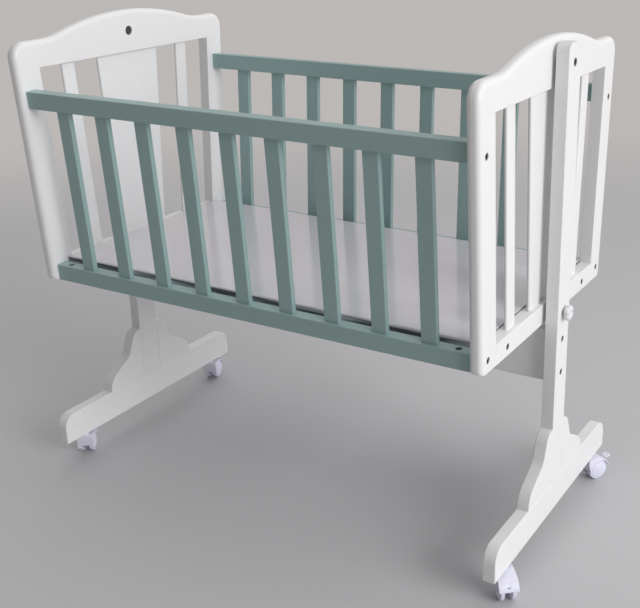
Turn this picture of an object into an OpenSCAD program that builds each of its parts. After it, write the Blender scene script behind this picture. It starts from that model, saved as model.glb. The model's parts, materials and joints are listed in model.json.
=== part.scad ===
// Swinging cradle on a wheeled stand.
// X runs along the cradle, Y across it and Z up. The origin is on the floor, under the middle.
// "near" is the +X end, "far" the -X end, "front" the -Y side and "back" the +Y side.

/* [Cradle] */
// Inside length between the two end panels
cradle_len = 846; // [700:1:960]
// Height of the cradle's underside above the floor
cradle_z = 400; // [392:1:440]
// Width of an end panel at its bottom edge
base_w = 504; // [440:1:560]
// Outward lean of the panels, in degrees
flare_deg = 3.2; // [0.5:0.1:5]

/* [End panels] */
// Thickness of the end panel boards
end_t = 22; // [20:0.5:28]
// Width of a stile
stile_w = 50; // [40:1:62]
// Height of the end panel's bottom rail
end_rail_h = 35; // [33:1:50]
// Height of the opening's top edge above the panel's bottom
open_top = 386; // [370:1:400]
// Height of the crest rail at its flat shoulders
crest_w = 47; // [40:1:60]
// Radius of the crest's arch
arch_r = 590; // [540:5:680]
// Rise of the arch's peak above the shoulders
arch_rise = 30.5; // [26:0.5:38]
// Radius of the hollow that joins the arch to the shoulder
hollow_r = 130; // [100:5:150]
// Radius of the shoulder's outer corner
shoulder_r = 27; // [10:1:34]
// Radius of the panel's lower corners
foot_corner_r = 10; // [4:1:16]
// Thickness of the end slats
end_slat_t = 6; // [4:0.5:10]
// Width of the narrow end slats
end_slat_w = 30; // [20:1:40]
// Gap between a stile and its slat, and between that slat and the splat
end_gap = 57; // [45:1:60]

/* [Side panels] */
// Thickness of the side rails
side_t = 22; // [20:0.5:26]
// Distance from the end panel's outer edge to the side rail's face
side_inset = 11; // [8:0.5:13]
// Height of a side rail
rail_h = 30; // [28:1:36]
// Distance from the top of the end panel's opening down to the side panel's upper edge
side_drop = 35; // [20:1:60]
// Slats in one side panel
side_slats = 9; // [7:1:9]
// Width of a side slat
slat_w = 27; // [20:1:34]
// Thickness of a side slat
slat_t = 10; // [6:0.5:12]

/* [Deck] */
// Thickness of the deck board
deck_t = 12; // [9:0.5:16]
// Height of a deck cleat
cleat_h = 22; // [18:1:24]
// Depth of a deck cleat
cleat_t = 22; // [20:1:28]
// Distance from the deck's edge to the end of a cleat
cleat_inset = 16; // [8:1:40]
// Distance from the deck to the side rails
deck_gap = 5; // [3:0.5:8]
// Distance from the end of a cleat to its bolt
cleat_bolt_in = 37.5; // [15:0.5:80]

/* [Stand] */
// Thickness of the stand's boards
stand_t = 22; // [20:0.5:28]
// Width of a post
post_w = 50; // [40:1:64]
// Height of a post's top above the swing axis
post_over = 30; // [26:1:50]
// Corner radius at a post's top
post_corner_r = 15; // [5:1:18]
// Space between an end panel and its post
swing_gap = 6; // [5:0.5:12]
// Distance from the crest's peak down to the swing axis
pivot_drop = 38.5; // [30:0.5:44]
// Height of the stretcher board
stretcher_h = 94; // [80:1:110]
// Space between the hanging cradle and the stretcher
stretcher_gap = 11; // [10:0.5:24]
// Distance from the stretcher's edge to the nearer bolt
stretcher_bolt_in = 17; // [12:1:30]

/* [Feet] */
// Length of a foot
foot_len = 500; // [470:5:620]
// Height of a foot board
foot_h = 58; // [50:1:70]
// Corner radius at the foot's upper ends
foot_r = 27; // [10:1:38]
// Height of a brace above the foot
brace_h = 106; // [90:1:125]
// Reach of a brace beside the post
brace_len = 96; // [90:1:120]

/* [Hardware] */
// Diameter of the frame bolts
bolt_d = 6; // [5:0.5:6]
// Diameter of a frame bolt's head
bolt_head_d = 10; // [9:0.5:10.5]
// Length of a frame bolt's head
bolt_head_h = 6; // [4:0.5:6]
// Diameter of a barrel nut
nut_d = 10; // [9:0.5:12]
// Length of a barrel nut
nut_len = 16; // [12:1:17]
// Distance from a rail's end to its barrel nut
nut_inset = 26; // [20:1:32]
// Diameter of a pivot bolt
pivot_d = 8; // [8:0.5:9]
// Diameter of a pivot bolt's head
pivot_head_d = 13; // [12:0.5:14]
// Diameter of a spacer washer
washer_d = 20; // [16:1:24]

/* [Lock] */
// Diameter of the hand knob
knob_d = 27; // [22:1:34]
// Length of the hand knob
knob_len = 11; // [10:0.5:14]
// Rounding of the knob's outer edge
knob_r = 4; // [1:0.5:6]
// Height of the knob's axis above the cradle's underside
lock_h = 20; // [14:1:24]
// Free travel between knob and post, and between shank and panel
lock_gap = 2; // [1.5:0.25:3]

/* [Casters] */
// Diameter of a wheel
wheel_d = 40; // [36:1:42]
// Height of the foot's underside above the floor
caster_h = 50; // [48:1:56]
// Width over a pair of wheels
caster_w = 34; // [32:1:38]
// Distance from the stem's axis to the axle
trail = 19; // [17:0.5:22]
// Distance from the foot's end to a stem
stem_inset = 54; // [46:1:100]
// Diameter of a stem
stem_d = 8; // [6:0.5:10]
// Length of the stem inside the foot
stem_len = 34; // [20:1:40]

/* [Hidden] */

$fn = 64;

NEAR = 1;
FAR = -1;
BACK = 1;
FRONT = -1;

WHITE = [0.93, 0.93, 0.91];
SAGE = [0.55, 0.66, 0.62];
DECK = [0.80, 0.78, 0.80];
STEEL = [0.16, 0.15, 0.15];
PALE_PLASTIC = [0.86, 0.86, 0.93];

// Fits: running, glued, for a bolt in wood, and what a cut takes past a face
run_fit = 0.05;
glue_gap = 0.1;
bolt_clear = 0.2;
face_gap = 0.2;
past = 1;

// End panels
half_len = cradle_len / 2;
end_out = half_len + end_t;
shoulder_h = open_top + crest_w;
peak_h = shoulder_h + arch_rise;
tenon_t = 8;
tenon_len = 18;
tenon_inset = 6;
groove_depth = 8;
splat_inset = 2 * end_gap + end_slat_w;
arch_z = peak_h - arch_r;
hollow_z = shoulder_h + hollow_r;
hollow_y = sqrt(pow(arch_r + hollow_r, 2) - pow(hollow_z - arch_z, 2));
meet_y = hollow_y * arch_r / (arch_r + hollow_r);
meet_z = arch_z + (hollow_z - arch_z) * arch_r / (arch_r + hollow_r);

// Side panels
side_mid_y = base_w / 2 - side_inset - side_t / 2;
side_h = open_top - side_drop;
slat_gap = (cradle_len - side_slats * slat_w) / (side_slats + 1);
slat_tenon = 8;
bolt_in = 9.5;
bolt_edge = rail_h - bolt_in;

// Deck
cleat_lift = 4;
cleat_z = cradle_z + cleat_lift;
deck_z = cleat_z + cleat_h;
deck_half_w = side_mid_y - side_t / 2 - deck_gap;
deck_edge_r = 4;
cleat_len = 2 * (deck_half_w - cleat_inset);
cleat_bolt_y = cleat_len / 2 - cleat_bolt_in;

// Frame bolts and barrel nuts
sink_d = bolt_head_d + 1;
sink_depth = bolt_head_h + 1;
bolt_len = end_t - sink_depth + nut_inset + nut_d / 2;
bolt_room = 3;
bolt_end_depth = nut_inset + nut_d / 2 + bolt_room;
key_d = 5;
key_depth = 3.5;
cleat_skin = 4;
cleat_bolt_len = end_t - sink_depth + cleat_t - cleat_skin;
cleat_bolt_room = 1;
nut_slot = 1.2;
nut_rim = 1;
nut_play = 2;

// Stand
post_in = end_out + swing_gap;
post_out = post_in + stand_t;
post_mid = post_in + stand_t / 2;
foot_top = caster_h + foot_h;
stretcher_top = cradle_z - stretcher_gap;
stretcher_mid = stretcher_top - stretcher_h / 2;
stretcher_bolt = stretcher_h / 2 - stretcher_bolt_in;
post_tenon_w = 30;
post_tenon_len = 26;
brace_nose_r = 25.5;
brace_hollow_r = 25.5;
brace_hollow_in = 39;
brace_hollow_down = 31.5;
brace_toe_r = 40;
brace_line = 2;
stem_y = foot_len / 2 - stem_inset;

// Pivots
pivot_z = cradle_z + peak_h - pivot_drop;
post_top = pivot_z + post_over;
pivot_head_h = 8;
pivot_sink = pivot_head_h + 0.5;
pivot_key_d = 6;
pivot_nut_r = 7.5;
pivot_nut_h = 6.8;
pivot_nut_in = 1;
pivot_pocket_d = 2 * pivot_nut_r + 2;
pivot_pocket = pivot_nut_in + pivot_nut_h + face_gap;
pivot_end = half_len + pivot_nut_in;

// Lock
lock_z = cradle_z + lock_h;
lock_d = pivot_d;
shank_grip = 7;
knob_lobes = 6;
knob_grip_r = 5;
knob_grip = 2.2;

// Casters: the wheel pair is domed outside and straddles the hood's web
wheel_r = wheel_d / 2;
wheel_in = 6.5;
wheel_edge = 12.5;
web_half = 5.5;
hood_gap = 1.2;
hood_wall = 2;
hood_r = wheel_r + hood_gap + hood_wall;
hood_low = 14;
neck_r = 8;
neck_gap = 0.3;
neck_h = 5;
axle_r = 3;
arch_low = 28;
SWIVELS = [[NEAR, FRONT, -50], [NEAR, BACK, 60], [FAR, FRONT, 126], [FAR, BACK, 108]];

// Brake levers: the pin is placed from the wheels' axis, the rest from the pin
brake_pin = [13, 7];
brake_pin_r = 1.5;
brake_boss_r = 3.5;
brake_t = 5;
brake_heel = [2, -2];
brake_arm_x = 10;
brake_arm_low = 7.5;
brake_arm_top = 10;
brake_tab_x = 9;
brake_tab_w = 14;
brake_tip_x = 20;
brake_tip_low = 11;
brake_tip_top = 13.5;
brake_slot = brake_t + 1;
brake_room_r = 7.6;
brake_room_x = 14;
brake_room_back = -4;
brake_room_low = -9;

// Half width of an end panel, and of its opening, at height h above its bottom
function outer(h) = base_w / 2 + h * tan(flare_deg);
function inner(h) = outer(h) - stile_w;
// Middle of a side slat, counted from the far end
function slat_x(i) = -half_len + slat_gap * (i + 1) + slat_w * (i + 0.5);
// Centre of a circle of radius r that rounds the corner p between unit directions a and b
function round_c(p, a, b, r) = p + (a + b) * (r / norm(a + b) / sin(acos(a * b) / 2));
function round_t(a, b, r) = r / tan(acos(a * b) / 2);
// Height, place and floor height of a side panel's upper or lower bolt
function bolt_h(top) = top ? side_h - bolt_edge : bolt_edge;
function bolt_y(top) = side_mid_y + bolt_h(top) * sin(flare_deg);
function bolt_z(top) = cradle_z + bolt_h(top) * cos(flare_deg);
// How far a barrel nut's hole starts below the bolt's axis: blind end in the bottom rail,
// open mouth under the top rail
function nut_room(top) = nut_len / 2 + nut_play + (top ? rail_h - nut_len - 2 * nut_play : 0);
// Whether a caster has a brake
function has_brake(k) = SWIVELS[k][1] == BACK;

// ---------------------------------------------------------------- placing
// Draws a Y-Z outline as a board of thickness t, centred at x
module board_x(x, t) {
    translate([x, 0, 0])
        rotate([90, 0, 90])
            linear_extrude(t, center = true)
                children();
}

// Moves children drawn in an end panel's height frame up to the cradle
module end_panel(s, t = end_t) {
    translate([0, 0, cradle_z])
        board_x(s * (half_len + end_t / 2), t)
            children();
}

// Leaning frame of a side panel: X along it, Y through it, Z up the slope
module side_panel(b) {
    translate([0, b * side_mid_y, cradle_z])
        rotate([-b * flare_deg, 0, 0])
            children();
}

// Turns +Z to point along s * X
module along_x(s) {
    rotate([0, s * 90, 0])
        children();
}

// Mirrors to the front when b is negative
module on_side(b) {
    mirror([0, b < 0 ? 1 : 0, 0])
        children();
}

// Draws an outline and its mirror image
module both_halves() {
    children();
    mirror([1, 0])
        children();
}

// ---------------------------------------------------------------- end panel outlines
// A band that follows the lean, from d0 to d1 inside the outer edge
module lean_band(d0, d1, h0, h1) {
    polygon([
        [outer(h0) - d0, h0], [outer(h0) - d1, h0],
        [outer(h1) - d1, h1], [outer(h1) - d0, h1]
    ]);
}

module stile_outline() {
    p = [outer(0), 0];
    inward = [-1, 0];
    upward = [sin(flare_deg), cos(flare_deg)];
    t = round_t(inward, upward, foot_corner_r);
    polygon([
        p + inward * stile_w, p + inward * t, p + upward * t,
        [outer(open_top), open_top], [inner(open_top), open_top]
    ]);
    translate(round_c(p, inward, upward, foot_corner_r))
        circle(foot_corner_r);
}

// Stub tenon from the stile's head into the crest rail
module stile_tenon(gap = 0) {
    lean_band(
        (stile_w - tenon_len) / 2 - gap, (stile_w + tenon_len) / 2 + gap,
        open_top - past, open_top + tenon_len + gap
    );
}

module crest_outline() {
    p = [outer(shoulder_h), shoulder_h];
    inward = [-1, 0];
    downward = [-sin(flare_deg), -cos(flare_deg)];
    t = round_t(inward, downward, shoulder_r);
    both_halves() {
        polygon([
            [0, open_top], [outer(open_top), open_top],
            p + downward * t, p + inward * t, [hollow_y, shoulder_h],
            [meet_y, shoulder_h], [0, shoulder_h]
        ]);
        intersection() {
            translate(round_c(p, inward, downward, shoulder_r))
                circle(shoulder_r);
            translate([0, open_top])
                square([outer(shoulder_h), peak_h]);
        }
        difference() {
            translate([meet_y, shoulder_h - past])
                square([hollow_y - meet_y, meet_z - shoulder_h + past]);
            translate([hollow_y, hollow_z])
                circle(hollow_r, $fn = 180);
        }
    }
    intersection() {
        translate([0, arch_z])
            circle(arch_r, $fn = 360);
        translate([-meet_y, open_top])
            square([2 * meet_y, peak_h]);
    }
}

module narrow_slat_outline(gap = 0) {
    lean_band(
        stile_w + end_gap - gap, stile_w + end_gap + end_slat_w + gap,
        end_rail_h - groove_depth - gap, open_top + groove_depth + gap
    );
}

module splat_outline(gap = 0) {
    h0 = end_rail_h - groove_depth - gap;
    h1 = open_top + groove_depth + gap;
    w0 = inner(h0) - splat_inset + gap;
    w1 = inner(h1) - splat_inset + gap;
    polygon([[-w0, h0], [w0, h0], [w1, h1], [-w1, h1]]);
}

module rail_tenon(gap = 0) {
    translate([0, tenon_inset - gap])
        square([inner(end_rail_h / 2) + tenon_len + gap, end_rail_h - 2 * tenon_inset + 2 * gap]);
}

// Grooves of all slats of one end panel, cut into its rails
module slat_grooves(s) {
    end_panel(s, end_slat_t + 2 * glue_gap) {
        both_halves()
            narrow_slat_outline(glue_gap);
        splat_outline(glue_gap);
    }
}

// A round hole along X through height z, from x to x + len in the direction s
module hole_x(s, x, y, z, d, len) {
    translate([s * x, y, z])
        along_x(s)
            cylinder(h = len, d = d);
}

// Counterbored hole for a frame bolt, from the outer face at x, len deep
module bolt_hole(s, x, y, z, len) {
    hole_x(s, x - sink_depth, y, z, sink_d, sink_depth + past);
    hole_x(s, x - len, y, z, bolt_d + 2 * bolt_clear, len + past);
}

// ---------------------------------------------------------------- end panel pieces
module crest_rail(s) {
    color(WHITE)
        difference() {
            end_panel(s)
                crest_outline();
            slat_grooves(s);
            end_panel(s, tenon_t + 2 * glue_gap)
                both_halves()
                    stile_tenon(glue_gap);
            hole_x(s, half_len - past, 0, pivot_z, pivot_d + 2 * run_fit, end_t + 2 * past);
            hole_x(s, half_len - past, 0, pivot_z, pivot_pocket_d, pivot_pocket + past);
        }
}

module end_bottom_rail(s) {
    color(WHITE)
        difference() {
            union() {
                end_panel(s)
                    polygon([
                        [-inner(0), 0], [inner(0), 0],
                        [inner(end_rail_h), end_rail_h], [-inner(end_rail_h), end_rail_h]
                    ]);
                end_panel(s, tenon_t)
                    both_halves()
                        rail_tenon();
            }
            slat_grooves(s);
            for (b = [FRONT, BACK])
                bolt_hole(s, end_out, b * cleat_bolt_y, cleat_z + cleat_h / 2, end_t + past);
        }
}

module stile(s, b) {
    color(WHITE)
        difference() {
            on_side(b)
                union() {
                    end_panel(s)
                        stile_outline();
                    end_panel(s, tenon_t)
                        stile_tenon();
                }
            end_panel(s, tenon_t + 2 * glue_gap)
                both_halves()
                    rail_tenon(glue_gap);
            for (top = [false, true])
                bolt_hole(s, end_out, b * bolt_y(top), bolt_z(top), end_t + past);
        }
}

module splat(s) {
    color(WHITE)
        end_panel(s, end_slat_t)
            splat_outline();
}

module end_slats() {
    color(WHITE)
        for (s = [NEAR, FAR])
            end_panel(s, end_slat_t)
                both_halves()
                    narrow_slat_outline();
}

// ---------------------------------------------------------------- side panel pieces
module slat_block(i, gap = 0) {
    translate([slat_x(i) - slat_w / 2 - gap, -slat_t / 2 - gap, rail_h - slat_tenon - gap])
        cube([slat_w + 2 * gap, slat_t + 2 * gap, side_h - 2 * rail_h + 2 * slat_tenon + 2 * gap]);
}

// One side rail with its slat mortises, bolt holes and barrel nut holes
module side_rail(b, top) {
    h = top ? side_h - rail_h : 0;
    color(SAGE)
        side_panel(b)
            difference() {
                translate([-half_len, -side_t / 2, h])
                    cube([cradle_len, side_t, rail_h]);
                for (i = [0 : side_slats - 1])
                    slat_block(i, glue_gap);
                for (s = [NEAR, FAR]) {
                    hole_x(s, half_len - bolt_end_depth, 0, bolt_h(top), bolt_d + 2 * bolt_clear,
                        bolt_end_depth + past);
                    translate([s * (half_len - nut_inset), 0, bolt_h(top) - nut_room(top)])
                        cylinder(h = rail_h, d = nut_d + 2 * glue_gap);
                }
            }
}

module side_slat(b, i) {
    color(SAGE)
        side_panel(b)
            slat_block(i);
}

// ---------------------------------------------------------------- deck
module deck_board() {
    color(DECK)
        translate([0, 0, deck_z])
            rotate([90, 0, 90])
                linear_extrude(cradle_len - 2 * face_gap, center = true)
                    both_halves() {
                        square([deck_half_w - deck_edge_r, deck_t]);
                        square([deck_half_w, deck_t - deck_edge_r]);
                        translate([deck_half_w - deck_edge_r, deck_t - deck_edge_r])
                            circle(deck_edge_r);
                    }
}

module deck_cleats() {
    color(WHITE)
        for (s = [NEAR, FAR])
            difference() {
                translate([s * (half_len - cleat_t / 2), 0, cleat_z + cleat_h / 2])
                    cube([cleat_t, cleat_len, cleat_h], center = true);
                for (b = [FRONT, BACK])
                    hole_x(s, end_out - sink_depth - cleat_bolt_len - cleat_bolt_room, b * cleat_bolt_y,
                        cleat_z + cleat_h / 2, bolt_d + 2 * glue_gap, cleat_t);
            }
}

// ---------------------------------------------------------------- fasteners
// Socket-head bolt along -Z, with its head's seat at z = 0
module socket_bolt(d, head_d, head_h, len, key) {
    difference() {
        union() {
            cylinder(h = head_h, d = head_d);
            translate([0, 0, -len])
                cylinder(h = len + past / 2, d = d);
        }
        translate([0, 0, head_h - key_depth])
            cylinder(h = key_depth + past, d = key, $fn = 6);
    }
}

module frame_bolt(len) {
    socket_bolt(bolt_d, bolt_head_d, bolt_head_h, len, key_d);
}

// Barrel nut along Z with its cross hole along X
module barrel_nut() {
    difference() {
        cylinder(h = nut_len, d = nut_d, center = true);
        along_x(1)
            cylinder(h = nut_d + 2 * past, d = bolt_d + 2 * run_fit, center = true);
        translate([0, 0, nut_len / 2])
            cube([nut_d - 2 * nut_rim, nut_slot, 2 * nut_slot], center = true);
    }
}

module cradle_bolts() {
    color(STEEL)
        for (s = [NEAR, FAR], b = [FRONT, BACK]) {
            for (top = [false, true])
                translate([s * (end_out - sink_depth), b * bolt_y(top), bolt_z(top)])
                    along_x(s)
                        frame_bolt(bolt_len);
            translate([s * (end_out - sink_depth), b * cleat_bolt_y, cleat_z + cleat_h / 2])
                along_x(s)
                    frame_bolt(cleat_bolt_len);
        }
}

module barrel_nuts() {
    color(STEEL)
        for (b = [FRONT, BACK])
            side_panel(b)
                for (s = [NEAR, FAR], top = [false, true])
                    translate([s * (half_len - nut_inset), 0, bolt_h(top)])
                        mirror([0, 0, top ? 1 : 0])
                            barrel_nut();
}

// ---------------------------------------------------------------- stand
module post_outline() {
    both_halves() {
        polygon([
            [0, foot_top], [post_w / 2, foot_top], [post_w / 2, post_top - post_corner_r],
            [post_w / 2 - post_corner_r, post_top], [0, post_top]
        ]);
        translate([post_w / 2 - post_corner_r, post_top - post_corner_r])
            circle(post_corner_r);
    }
}

module post_tenon(gap = 0) {
    translate([-post_tenon_w / 2 - gap, foot_top - post_tenon_len - gap])
        square([post_tenon_w + 2 * gap, post_tenon_len + past + gap]);
}

module post(s) {
    color(WHITE)
        difference() {
            union() {
                board_x(s * post_mid, stand_t)
                    post_outline();
                board_x(s * post_mid, tenon_t)
                    post_tenon();
            }
            hole_x(s, post_in - past, 0, pivot_z, pivot_d + 2 * run_fit, stand_t + 2 * past);
            hole_x(s, post_out - pivot_sink, 0, pivot_z, pivot_head_d + 2 * bolt_clear,
                pivot_sink + past);
            for (v = [-1, 1])
                bolt_hole(s, post_out, 0, stretcher_mid + v * stretcher_bolt, stand_t + past);
            if (s == NEAR)
                hole_x(s, post_in - past, 0, lock_z, lock_d + 2 * run_fit, stand_t + 2 * past);
        }
}

module foot_outline() {
    both_halves() {
        polygon([
            [0, caster_h], [foot_len / 2, caster_h], [foot_len / 2, foot_top - foot_r],
            [foot_len / 2 - foot_r, foot_top], [0, foot_top]
        ]);
        translate([foot_len / 2 - foot_r, foot_top - foot_r])
            circle(foot_r);
    }
}

module foot(s) {
    color(WHITE)
        difference() {
            board_x(s * post_mid, stand_t)
                foot_outline();
            board_x(s * post_mid, tenon_t + 2 * glue_gap)
                post_tenon(glue_gap);
            for (b = [FRONT, BACK])
                translate([s * post_mid, b * stem_y, caster_h - past])
                    cylinder(h = stem_len + 2 * past, d = stem_d + 2 * run_fit);
        }
}

// Where the line that crosses between two circles touches the first; side is 1 or -1
function cross_touch(c1, r1, c2, r2, side) =
    let (d = c2 - c1, a = side * acos((r1 + r2) / norm(d)), u = d / norm(d))
    c1 + r1 * [u[0] * cos(a) - u[1] * sin(a), u[0] * sin(a) + u[1] * cos(a)];

// A shaped brace beside a post: a round nose on top, a hollow, and a round toe on the foot
module brace_outline() {
    nose = [0, brace_h - brace_nose_r];
    hollow = [brace_len - brace_hollow_in, brace_h - brace_hollow_down];
    toe = [brace_len - brace_toe_r, 0];
    hollow_r = min(brace_hollow_r,
        norm(hollow - nose) - brace_nose_r - brace_line, norm(hollow - toe) - brace_toe_r - brace_line);
    translate([post_w / 2, foot_top])
        difference() {
            union() {
                polygon([
                    [0, 0], [brace_len, 0],
                    cross_touch(toe, brace_toe_r, hollow, hollow_r, -1),
                    cross_touch(hollow, hollow_r, toe, brace_toe_r, -1),
                    cross_touch(hollow, hollow_r, nose, brace_nose_r, 1),
                    cross_touch(nose, brace_nose_r, hollow, hollow_r, 1),
                    nose
                ]);
                intersection() {
                    translate(nose)
                        circle(brace_nose_r);
                    square([brace_nose_r, brace_h]);
                }
                intersection() {
                    translate(toe)
                        circle(brace_toe_r);
                    square([brace_len, brace_toe_r]);
                }
            }
            translate(hollow)
                circle(hollow_r);
        }
}

module foot_braces() {
    color(WHITE)
        for (s = [NEAR, FAR])
            board_x(s * post_mid, stand_t)
                both_halves()
                    brace_outline();
}

module stretcher() {
    color(WHITE)
        difference() {
            translate([0, 0, stretcher_mid])
                cube([2 * post_in, stand_t, stretcher_h], center = true);
            for (s = [NEAR, FAR], v = [-1, 1]) {
                hole_x(s, post_in - bolt_end_depth, 0, stretcher_mid + v * stretcher_bolt,
                    bolt_d + 2 * bolt_clear, bolt_end_depth + past);
                translate([s * (post_in - nut_inset), past, stretcher_mid + v * stretcher_bolt])
                    rotate([90, 0, 0])
                        cylinder(h = stand_t, d = nut_d + 2 * glue_gap, center = true);
            }
        }
}

module stretcher_bolts() {
    color(STEEL)
        for (s = [NEAR, FAR], v = [-1, 1])
            translate([s * (post_out - sink_depth), 0, stretcher_mid + v * stretcher_bolt])
                along_x(s)
                    frame_bolt(stand_t - sink_depth + nut_inset + nut_d / 2);
}

module stretcher_nuts() {
    color(STEEL)
        for (s = [NEAR, FAR], v = [-1, 1])
            translate([s * (post_in - nut_inset), 0, stretcher_mid + v * stretcher_bolt])
                rotate([-90, 0, 0])
                    barrel_nut();
}

// ---------------------------------------------------------------- pivots
module pivot_bolts() {
    color(STEEL)
        for (s = [NEAR, FAR])
            translate([s * (post_out - pivot_sink), 0, pivot_z])
                along_x(s)
                    socket_bolt(pivot_d, pivot_head_d, pivot_head_h,
                        post_out - pivot_sink - pivot_end, pivot_key_d);
}

module pivot_nuts() {
    color(STEEL)
        for (s = [NEAR, FAR])
            translate([s * (half_len + pivot_pocket - face_gap), 0, pivot_z])
                along_x(-s)
                    difference() {
                        cylinder(h = pivot_nut_h, r = pivot_nut_r, $fn = 6);
                        translate([0, 0, -past])
                            cylinder(h = pivot_nut_h + 2 * past, d = pivot_d + 2 * run_fit);
                    }
}

module spacer_washers() {
    color(PALE_PLASTIC)
        for (s = [NEAR, FAR])
            difference() {
                hole_x(s, end_out + face_gap, 0, pivot_z, washer_d, swing_gap - face_gap);
                hole_x(s, end_out - past, 0, pivot_z, pivot_d + 2 * run_fit, swing_gap + 2 * past);
            }
}

// ---------------------------------------------------------------- lock
module lock_shank() {
    color(STEEL)
        hole_x(NEAR, end_out + lock_gap, 0, lock_z, lock_d,
            post_out + shank_grip - end_out);
}

module lock_knob() {
    color(PALE_PLASTIC)
        translate([post_out + lock_gap, 0, lock_z])
            along_x(1)
                difference() {
                    rotate_extrude() {
                        square([knob_d / 2 - knob_r, knob_len]);
                        square([knob_d / 2, knob_len - knob_r]);
                        translate([knob_d / 2 - knob_r, knob_len - knob_r])
                            intersection() {
                                circle(knob_r);
                                square(knob_r);
                            }
                    }
                    translate([0, 0, -past])
                        cylinder(h = shank_grip + past + face_gap, d = lock_d + 2 * run_fit);
                    for (i = [0 : knob_lobes - 1])
                        rotate([0, 0, 360 * (i + 0.5) / knob_lobes])
                            translate([knob_d / 2 + knob_grip_r - knob_grip, 0, -past])
                                cylinder(h = knob_len + 2 * past, r = knob_grip_r);
                }
}

// ---------------------------------------------------------------- casters
// Caster frame: origin on the floor under the stem, +X towards the wheels
module caster_at(k) {
    at = SWIVELS[k];
    translate([at[0] * post_mid, at[1] * stem_y, 0])
        rotate([0, 0, at[2]])
            children();
}

// Draws an X-Z outline through the width w of a caster
module across(w) {
    rotate([90, 0, 0])
        linear_extrude(w, center = true)
            children();
}

module hood_side() {
    translate([trail, wheel_r])
        circle(hood_r);
    polygon([
        [-neck_r, caster_h - neck_h], [neck_r, caster_h - neck_h],
        [trail, wheel_r + hood_r], [trail, hood_low],
        [trail - hood_r + hood_wall, hood_low], [-neck_r, caster_h - 3 * neck_h]
    ]);
}

// The hood's cross-section: straight flanks, a round arch and the neck
module hood_front() {
    translate([-caster_w / 2, 0])
        square([caster_w, arch_low]);
    translate([0, arch_low])
        circle(caster_w / 2);
    translate([-neck_r, arch_low])
        square([2 * neck_r, caster_h]);
}

module caster(k) {
    color(PALE_PLASTIC)
        caster_at(k) {
            difference() {
                intersection() {
                    across(caster_w + 2 * past)
                        hood_side();
                    translate([trail, 0, 0])
                        rotate([0, 0, 90])
                            across(3 * trail + wheel_d)
                                hood_front();
                    translate([0, 0, hood_low])
                        linear_extrude(caster_h)
                            square(4 * wheel_d, center = true);
                }
                for (v = [-1, 1])
                    translate([trail, v * (web_half + caster_w), wheel_r])
                        rotate([90, 0, 0])
                            cylinder(h = 2 * caster_w, r = wheel_r + hood_gap, center = true);
                translate([trail, 0, wheel_r])
                    rotate([90, 0, 0])
                        cylinder(h = caster_w, r = axle_r + run_fit, center = true);
                if (has_brake(k))
                    brake_room();
            }
            translate([0, 0, caster_h - 2 * neck_h])
                cylinder(h = stem_len + 2 * neck_h, d = stem_d);
            translate([0, 0, caster_h - 2 * neck_h])
                cylinder(h = 2 * neck_h - neck_gap, r = neck_r);
        }
}

module wheels(k) {
    dome = caster_w / 2 - wheel_edge;
    dome_r = (pow(wheel_r, 2) + pow(dome, 2)) / (2 * dome);
    color(PALE_PLASTIC)
        caster_at(k)
            translate([trail, 0, wheel_r])
                rotate([90, 0, 0]) {
                    for (v = [-1, 1])
                        intersection() {
                            translate([0, 0, v * (wheel_in + caster_w) / 2])
                                cylinder(h = caster_w - wheel_in, r = wheel_r, center = true);
                            translate([0, 0, v * (caster_w / 2 - dome_r)])
                                sphere(dome_r, $fn = 96);
                        }
                    cylinder(h = 2 * (wheel_in + past), r = axle_r, center = true);
                }
}

// Pocket in the web and window in the hood, in which the brake lever swings
module brake_room() {
    translate([trail + brake_pin[0], 0, wheel_r + brake_pin[1]])
        rotate([90, 0, 0]) {
            cylinder(h = brake_slot, r = brake_room_r, center = true);
            cylinder(h = 3 * web_half, r = brake_pin_r + run_fit, center = true);
            linear_extrude(brake_slot, center = true)
                polygon([
                    [0, brake_room_r], [brake_room_x, brake_room_r], [brake_room_x, brake_room_low],
                    [brake_room_back, brake_room_low], [brake_room_back, 0]
                ]);
        }
}

module brake(k) {
    color(PALE_PLASTIC)
        caster_at(k)
            translate([trail + brake_pin[0], 0, wheel_r + brake_pin[1]])
                rotate([90, 0, 0]) {
                    cylinder(h = brake_t, r = brake_boss_r, center = true);
                    cylinder(h = 2 * web_half, r = brake_pin_r, center = true);
                    linear_extrude(brake_t, center = true)
                        polygon([
                            [0, brake_boss_r], [brake_arm_x, brake_arm_top],
                            [brake_arm_x, brake_arm_low], brake_heel
                        ]);
                    linear_extrude(brake_tab_w, center = true)
                        polygon([
                            [brake_tab_x, brake_arm_top], [brake_tip_x, brake_tip_top],
                            [brake_tip_x, brake_tip_low], [brake_tab_x, brake_arm_low]
                        ]);
                }
}

crest_rail(NEAR);  // near_crest_rail
end_bottom_rail(NEAR);  // near_bottom_rail
stile(NEAR, FRONT);  // near_front_stile
stile(NEAR, BACK);  // near_back_stile
splat(NEAR);  // near_splat
crest_rail(FAR);  // far_crest_rail
end_bottom_rail(FAR);  // far_bottom_rail
stile(FAR, FRONT);  // far_front_stile
stile(FAR, BACK);  // far_back_stile
splat(FAR);  // far_splat
end_slats();
side_rail(FRONT, true);  // front_top_rail
side_rail(FRONT, false);  // front_bottom_rail
side_rail(BACK, true);  // back_top_rail
side_rail(BACK, false);  // back_bottom_rail
for (i = [0 : side_slats - 1]) {
    side_slat(FRONT, i);
    side_slat(BACK, i);
}
deck_board();
deck_cleats();
cradle_bolts();
barrel_nuts();
post(NEAR);  // near_post
post(FAR);  // far_post
foot(NEAR);  // near_foot
foot(FAR);  // far_foot
foot_braces();
stretcher();
pivot_bolts();
pivot_nuts();
spacer_washers();
stretcher_bolts();
stretcher_nuts();
lock_shank();
lock_knob();
caster(0);  // near_front_caster
caster(1);  // near_back_caster
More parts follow.
